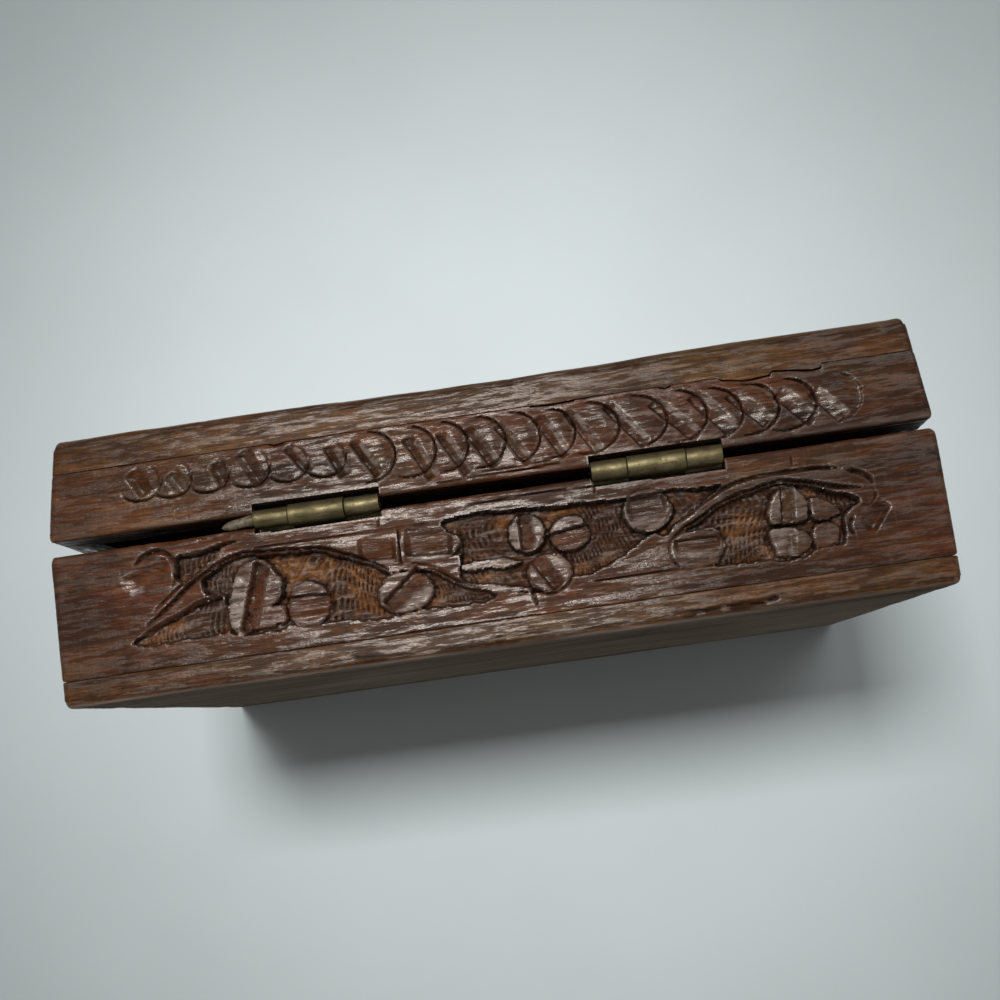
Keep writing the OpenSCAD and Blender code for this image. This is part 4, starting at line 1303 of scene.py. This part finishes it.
def hinges():
    half = BARREL / 2
    for side, x in HINGE_X.items():
        at = Matrix.Translation((x, 0, 0))
        small = END_RADIUS[side]
        lid_parts = [plate(), knuckle(-half, -half + END_KNUCKLE, small),
                     knuckle(half - END_KNUCKLE, half, small)]
        if side == "right":
            lid_parts.append(tail())
        add_fitting(side + "_lid_leaf", lid_parts, LID_FRAME @ at, False, "lid",
                    side + "_lid_leaf", lambda p: ramp(p[:, 0], half + 0.05, half + 1.5) * 0.8)
        add_fitting(side + "_base_leaf",
                    [plate(), knuckle(-MID_KNUCKLE / 2, MID_KNUCKLE / 2, KNUCKLE_R)],
                    HINGE_FRAME @ at, True, "base", side + "_base_leaf")
        pin = [(-half + 0.02, 0.4), (-half + 0.05, 0.8), (-half + 0.22, 1.08),
               (-half + 0.5, PIN_R)]
        pin += [(-end, radius) for end, radius in pin[::-1]]
        add_fitting(side + "_pin", [lathe(pin)], HINGE_FRAME @ at, False, "base",
                    side + "_hinge_pin")
    for body, place, flip in (("base", HINGE_FRAME, True), ("lid", LID_FRAME, False)):
        parts = []
        for k, x in enumerate(HINGE_X.values()):
            for way in (-1, 1):
                p, f = screw()
                turn = np.array(Matrix.Rotation(0.7 + 1.9 * k + way, 3, "Z"))
                p = p @ turn.T + (x + way * SCREW_X, -SCREW_Y, KNUCKLE_R - LEAF_T - 0.06)
                parts.append((p, f))
        add_fitting(body + "_screws", parts, place, flip, body, body + "_leaf_screws")


hinges()


# Camera at the photograph's viewing angle, with its own focal length and vertical shift
camera = bpy.data.cameras.new("camera")
camera.sensor_width = 36.0
camera.lens = 39.09
camera.shift_y = 0.1056
camera.clip_start = 0.01
camera_at = Vector((-18.186, 304.140, -14.878)) * MM
right_way = (-0.98735, -0.08344, -0.13483)
up_way = (-0.1422, 0.08969, 0.98577)
back_way = (-0.07016, 0.99247, -0.10042)
camera_turn = Matrix((right_way, up_way, back_way)).transposed().to_4x4()
scene.camera = put_in_scene("camera", camera, Matrix.Translation(camera_at) @ camera_turn)


# Stage: the pale table on which the box lies on its front, and a floor for the other views.
# Each is seen from one side only, so that neither hides the box or shades the other's view.
def pale_surface(name, colour, middle, near, reach, bounces=True):
    """Painted pool of light: darkens from near to reach round its middle, and is clear beyond 1 m.

    Without bounces, only the camera and shiny surfaces see it.
    """
    m = Shader(name)
    distance = m.vector("DISTANCE", m.coords, middle)
    # painted pool of light: the colour darkens away from the middle
    light_pool = m.ramp(distance, near, reach, 1.0, 0.42)
    smudge = m.noise(m.coords, 9.0, 3.0)
    tint = m.mix(m.ramp(smudge, 0.3, 0.7), colour, tuple(c * 0.955 for c in colour))
    m.surface_is(Base_Color=m.mix(light_pool, (0.0, 0.0, 0.0), tint), Roughness=0.6,
                 Specular_IOR_Level=0.1)
    clear = m.nodes.new("ShaderNodeBsdfTransparent")
    behind = m.nodes.new("ShaderNodeNewGeometry").outputs["Backfacing"]
    light_path = m.nodes.new("ShaderNodeLightPath")
    hidden = m.highest(behind, light_path.outputs["Is Shadow Ray"])
    hidden = m.highest(hidden, m.ramp(distance, 0.5, 1.0))
    if not bounces:
        seen = m.highest(light_path.outputs["Is Camera Ray"],
                         light_path.outputs["Is Glossy Ray"])
        hidden = m.highest(hidden, m.math("SUBTRACT", 1.0, seen))
    either = m.nodes.new("ShaderNodeMixShader")
    m.set(either.inputs[0], hidden)
    m.set(either.inputs[1], m.surface.outputs[0])
    m.set(either.inputs[2], clear.outputs[0])
    m.set(m.nodes["Material Output"].inputs["Surface"], either.outputs[0])
    return m.material


def stage_plane(name, matrix, material):
    mesh = bpy.data.meshes.new(name)
    mesh.from_pydata([(-3, -3, 0), (3, -3, 0), (3, 3, 0), (-3, 3, 0)], [], [(0, 1, 2, 3)])
    mesh.materials.append(material)
    put_in_scene(name, mesh, matrix)


stage_plane("table", Matrix.Translation((0, -BOX_D / 2 * MM - 0.0004, 0))
            @ Matrix.Rotation(math.radians(-90), 4, "X"),
            pale_surface("pale_table", (0.79, 0.87, 0.88), (0.004, -0.036, 0.0), 0.05, 0.315))
stage_plane("floor", Matrix.Translation((0, 0, -0.0002)),
            pale_surface("pale_floor", (0.74, 0.80, 0.80), (0.0, 0.0, 0.0), 0.10, 0.9,
                         bounces=False))


# Light: two broad lamps over the back, leaning to the picture's top edge, and softer ones
# for the sides that the photograph does not show
def lamp(name, place, size, power, aim=(0, 0, 0.03)):
    light = bpy.data.lights.new(name, "AREA")
    light.shape = "RECTANGLE"
    light.size, light.size_y = size
    light.energy = power
    away = Vector(place) - Vector(aim)
    put_in_scene(name, light,
                 Matrix.Translation(place) @ away.to_track_quat("Z", "Y").to_matrix().to_4x4())


lamp("lamp_main", (0.15, 1.30, 0.36), (0.40, 0.30), 13.2)
lamp("lamp_side", (-0.7, 1.0, 0.9), (1.0, 1.0), 3.2)
lamp("lamp_front", (0.5, -1.3, 1.1), (0.8, 0.8), 16)
world = bpy.data.worlds.new("surround")
world.use_nodes = True
world.node_tree.nodes["Background"].inputs[0].default_value = (0.84, 0.84, 0.83, 1)
turned = world.node_tree.nodes.new("ShaderNodeSeparateXYZ")
height = world.node_tree.nodes.new("ShaderNodeMapRange")
for key, number in zip(("From Min", "From Max", "To Min", "To Max"), (-0.95, 0.25, 0.045, 0.24)):
    height.inputs[key].default_value = number
ways = world.node_tree.nodes.new("ShaderNodeTexCoord").outputs["Generated"]
world.node_tree.links.new(ways, turned.inputs[0])
world.node_tree.links.new(turned.outputs["Z"], height.inputs["Value"])
world.node_tree.links.new(height.outputs["Result"],
                          world.node_tree.nodes["Background"].inputs[1])
scene.world = world
scene.view_settings.view_transform = "Standard"
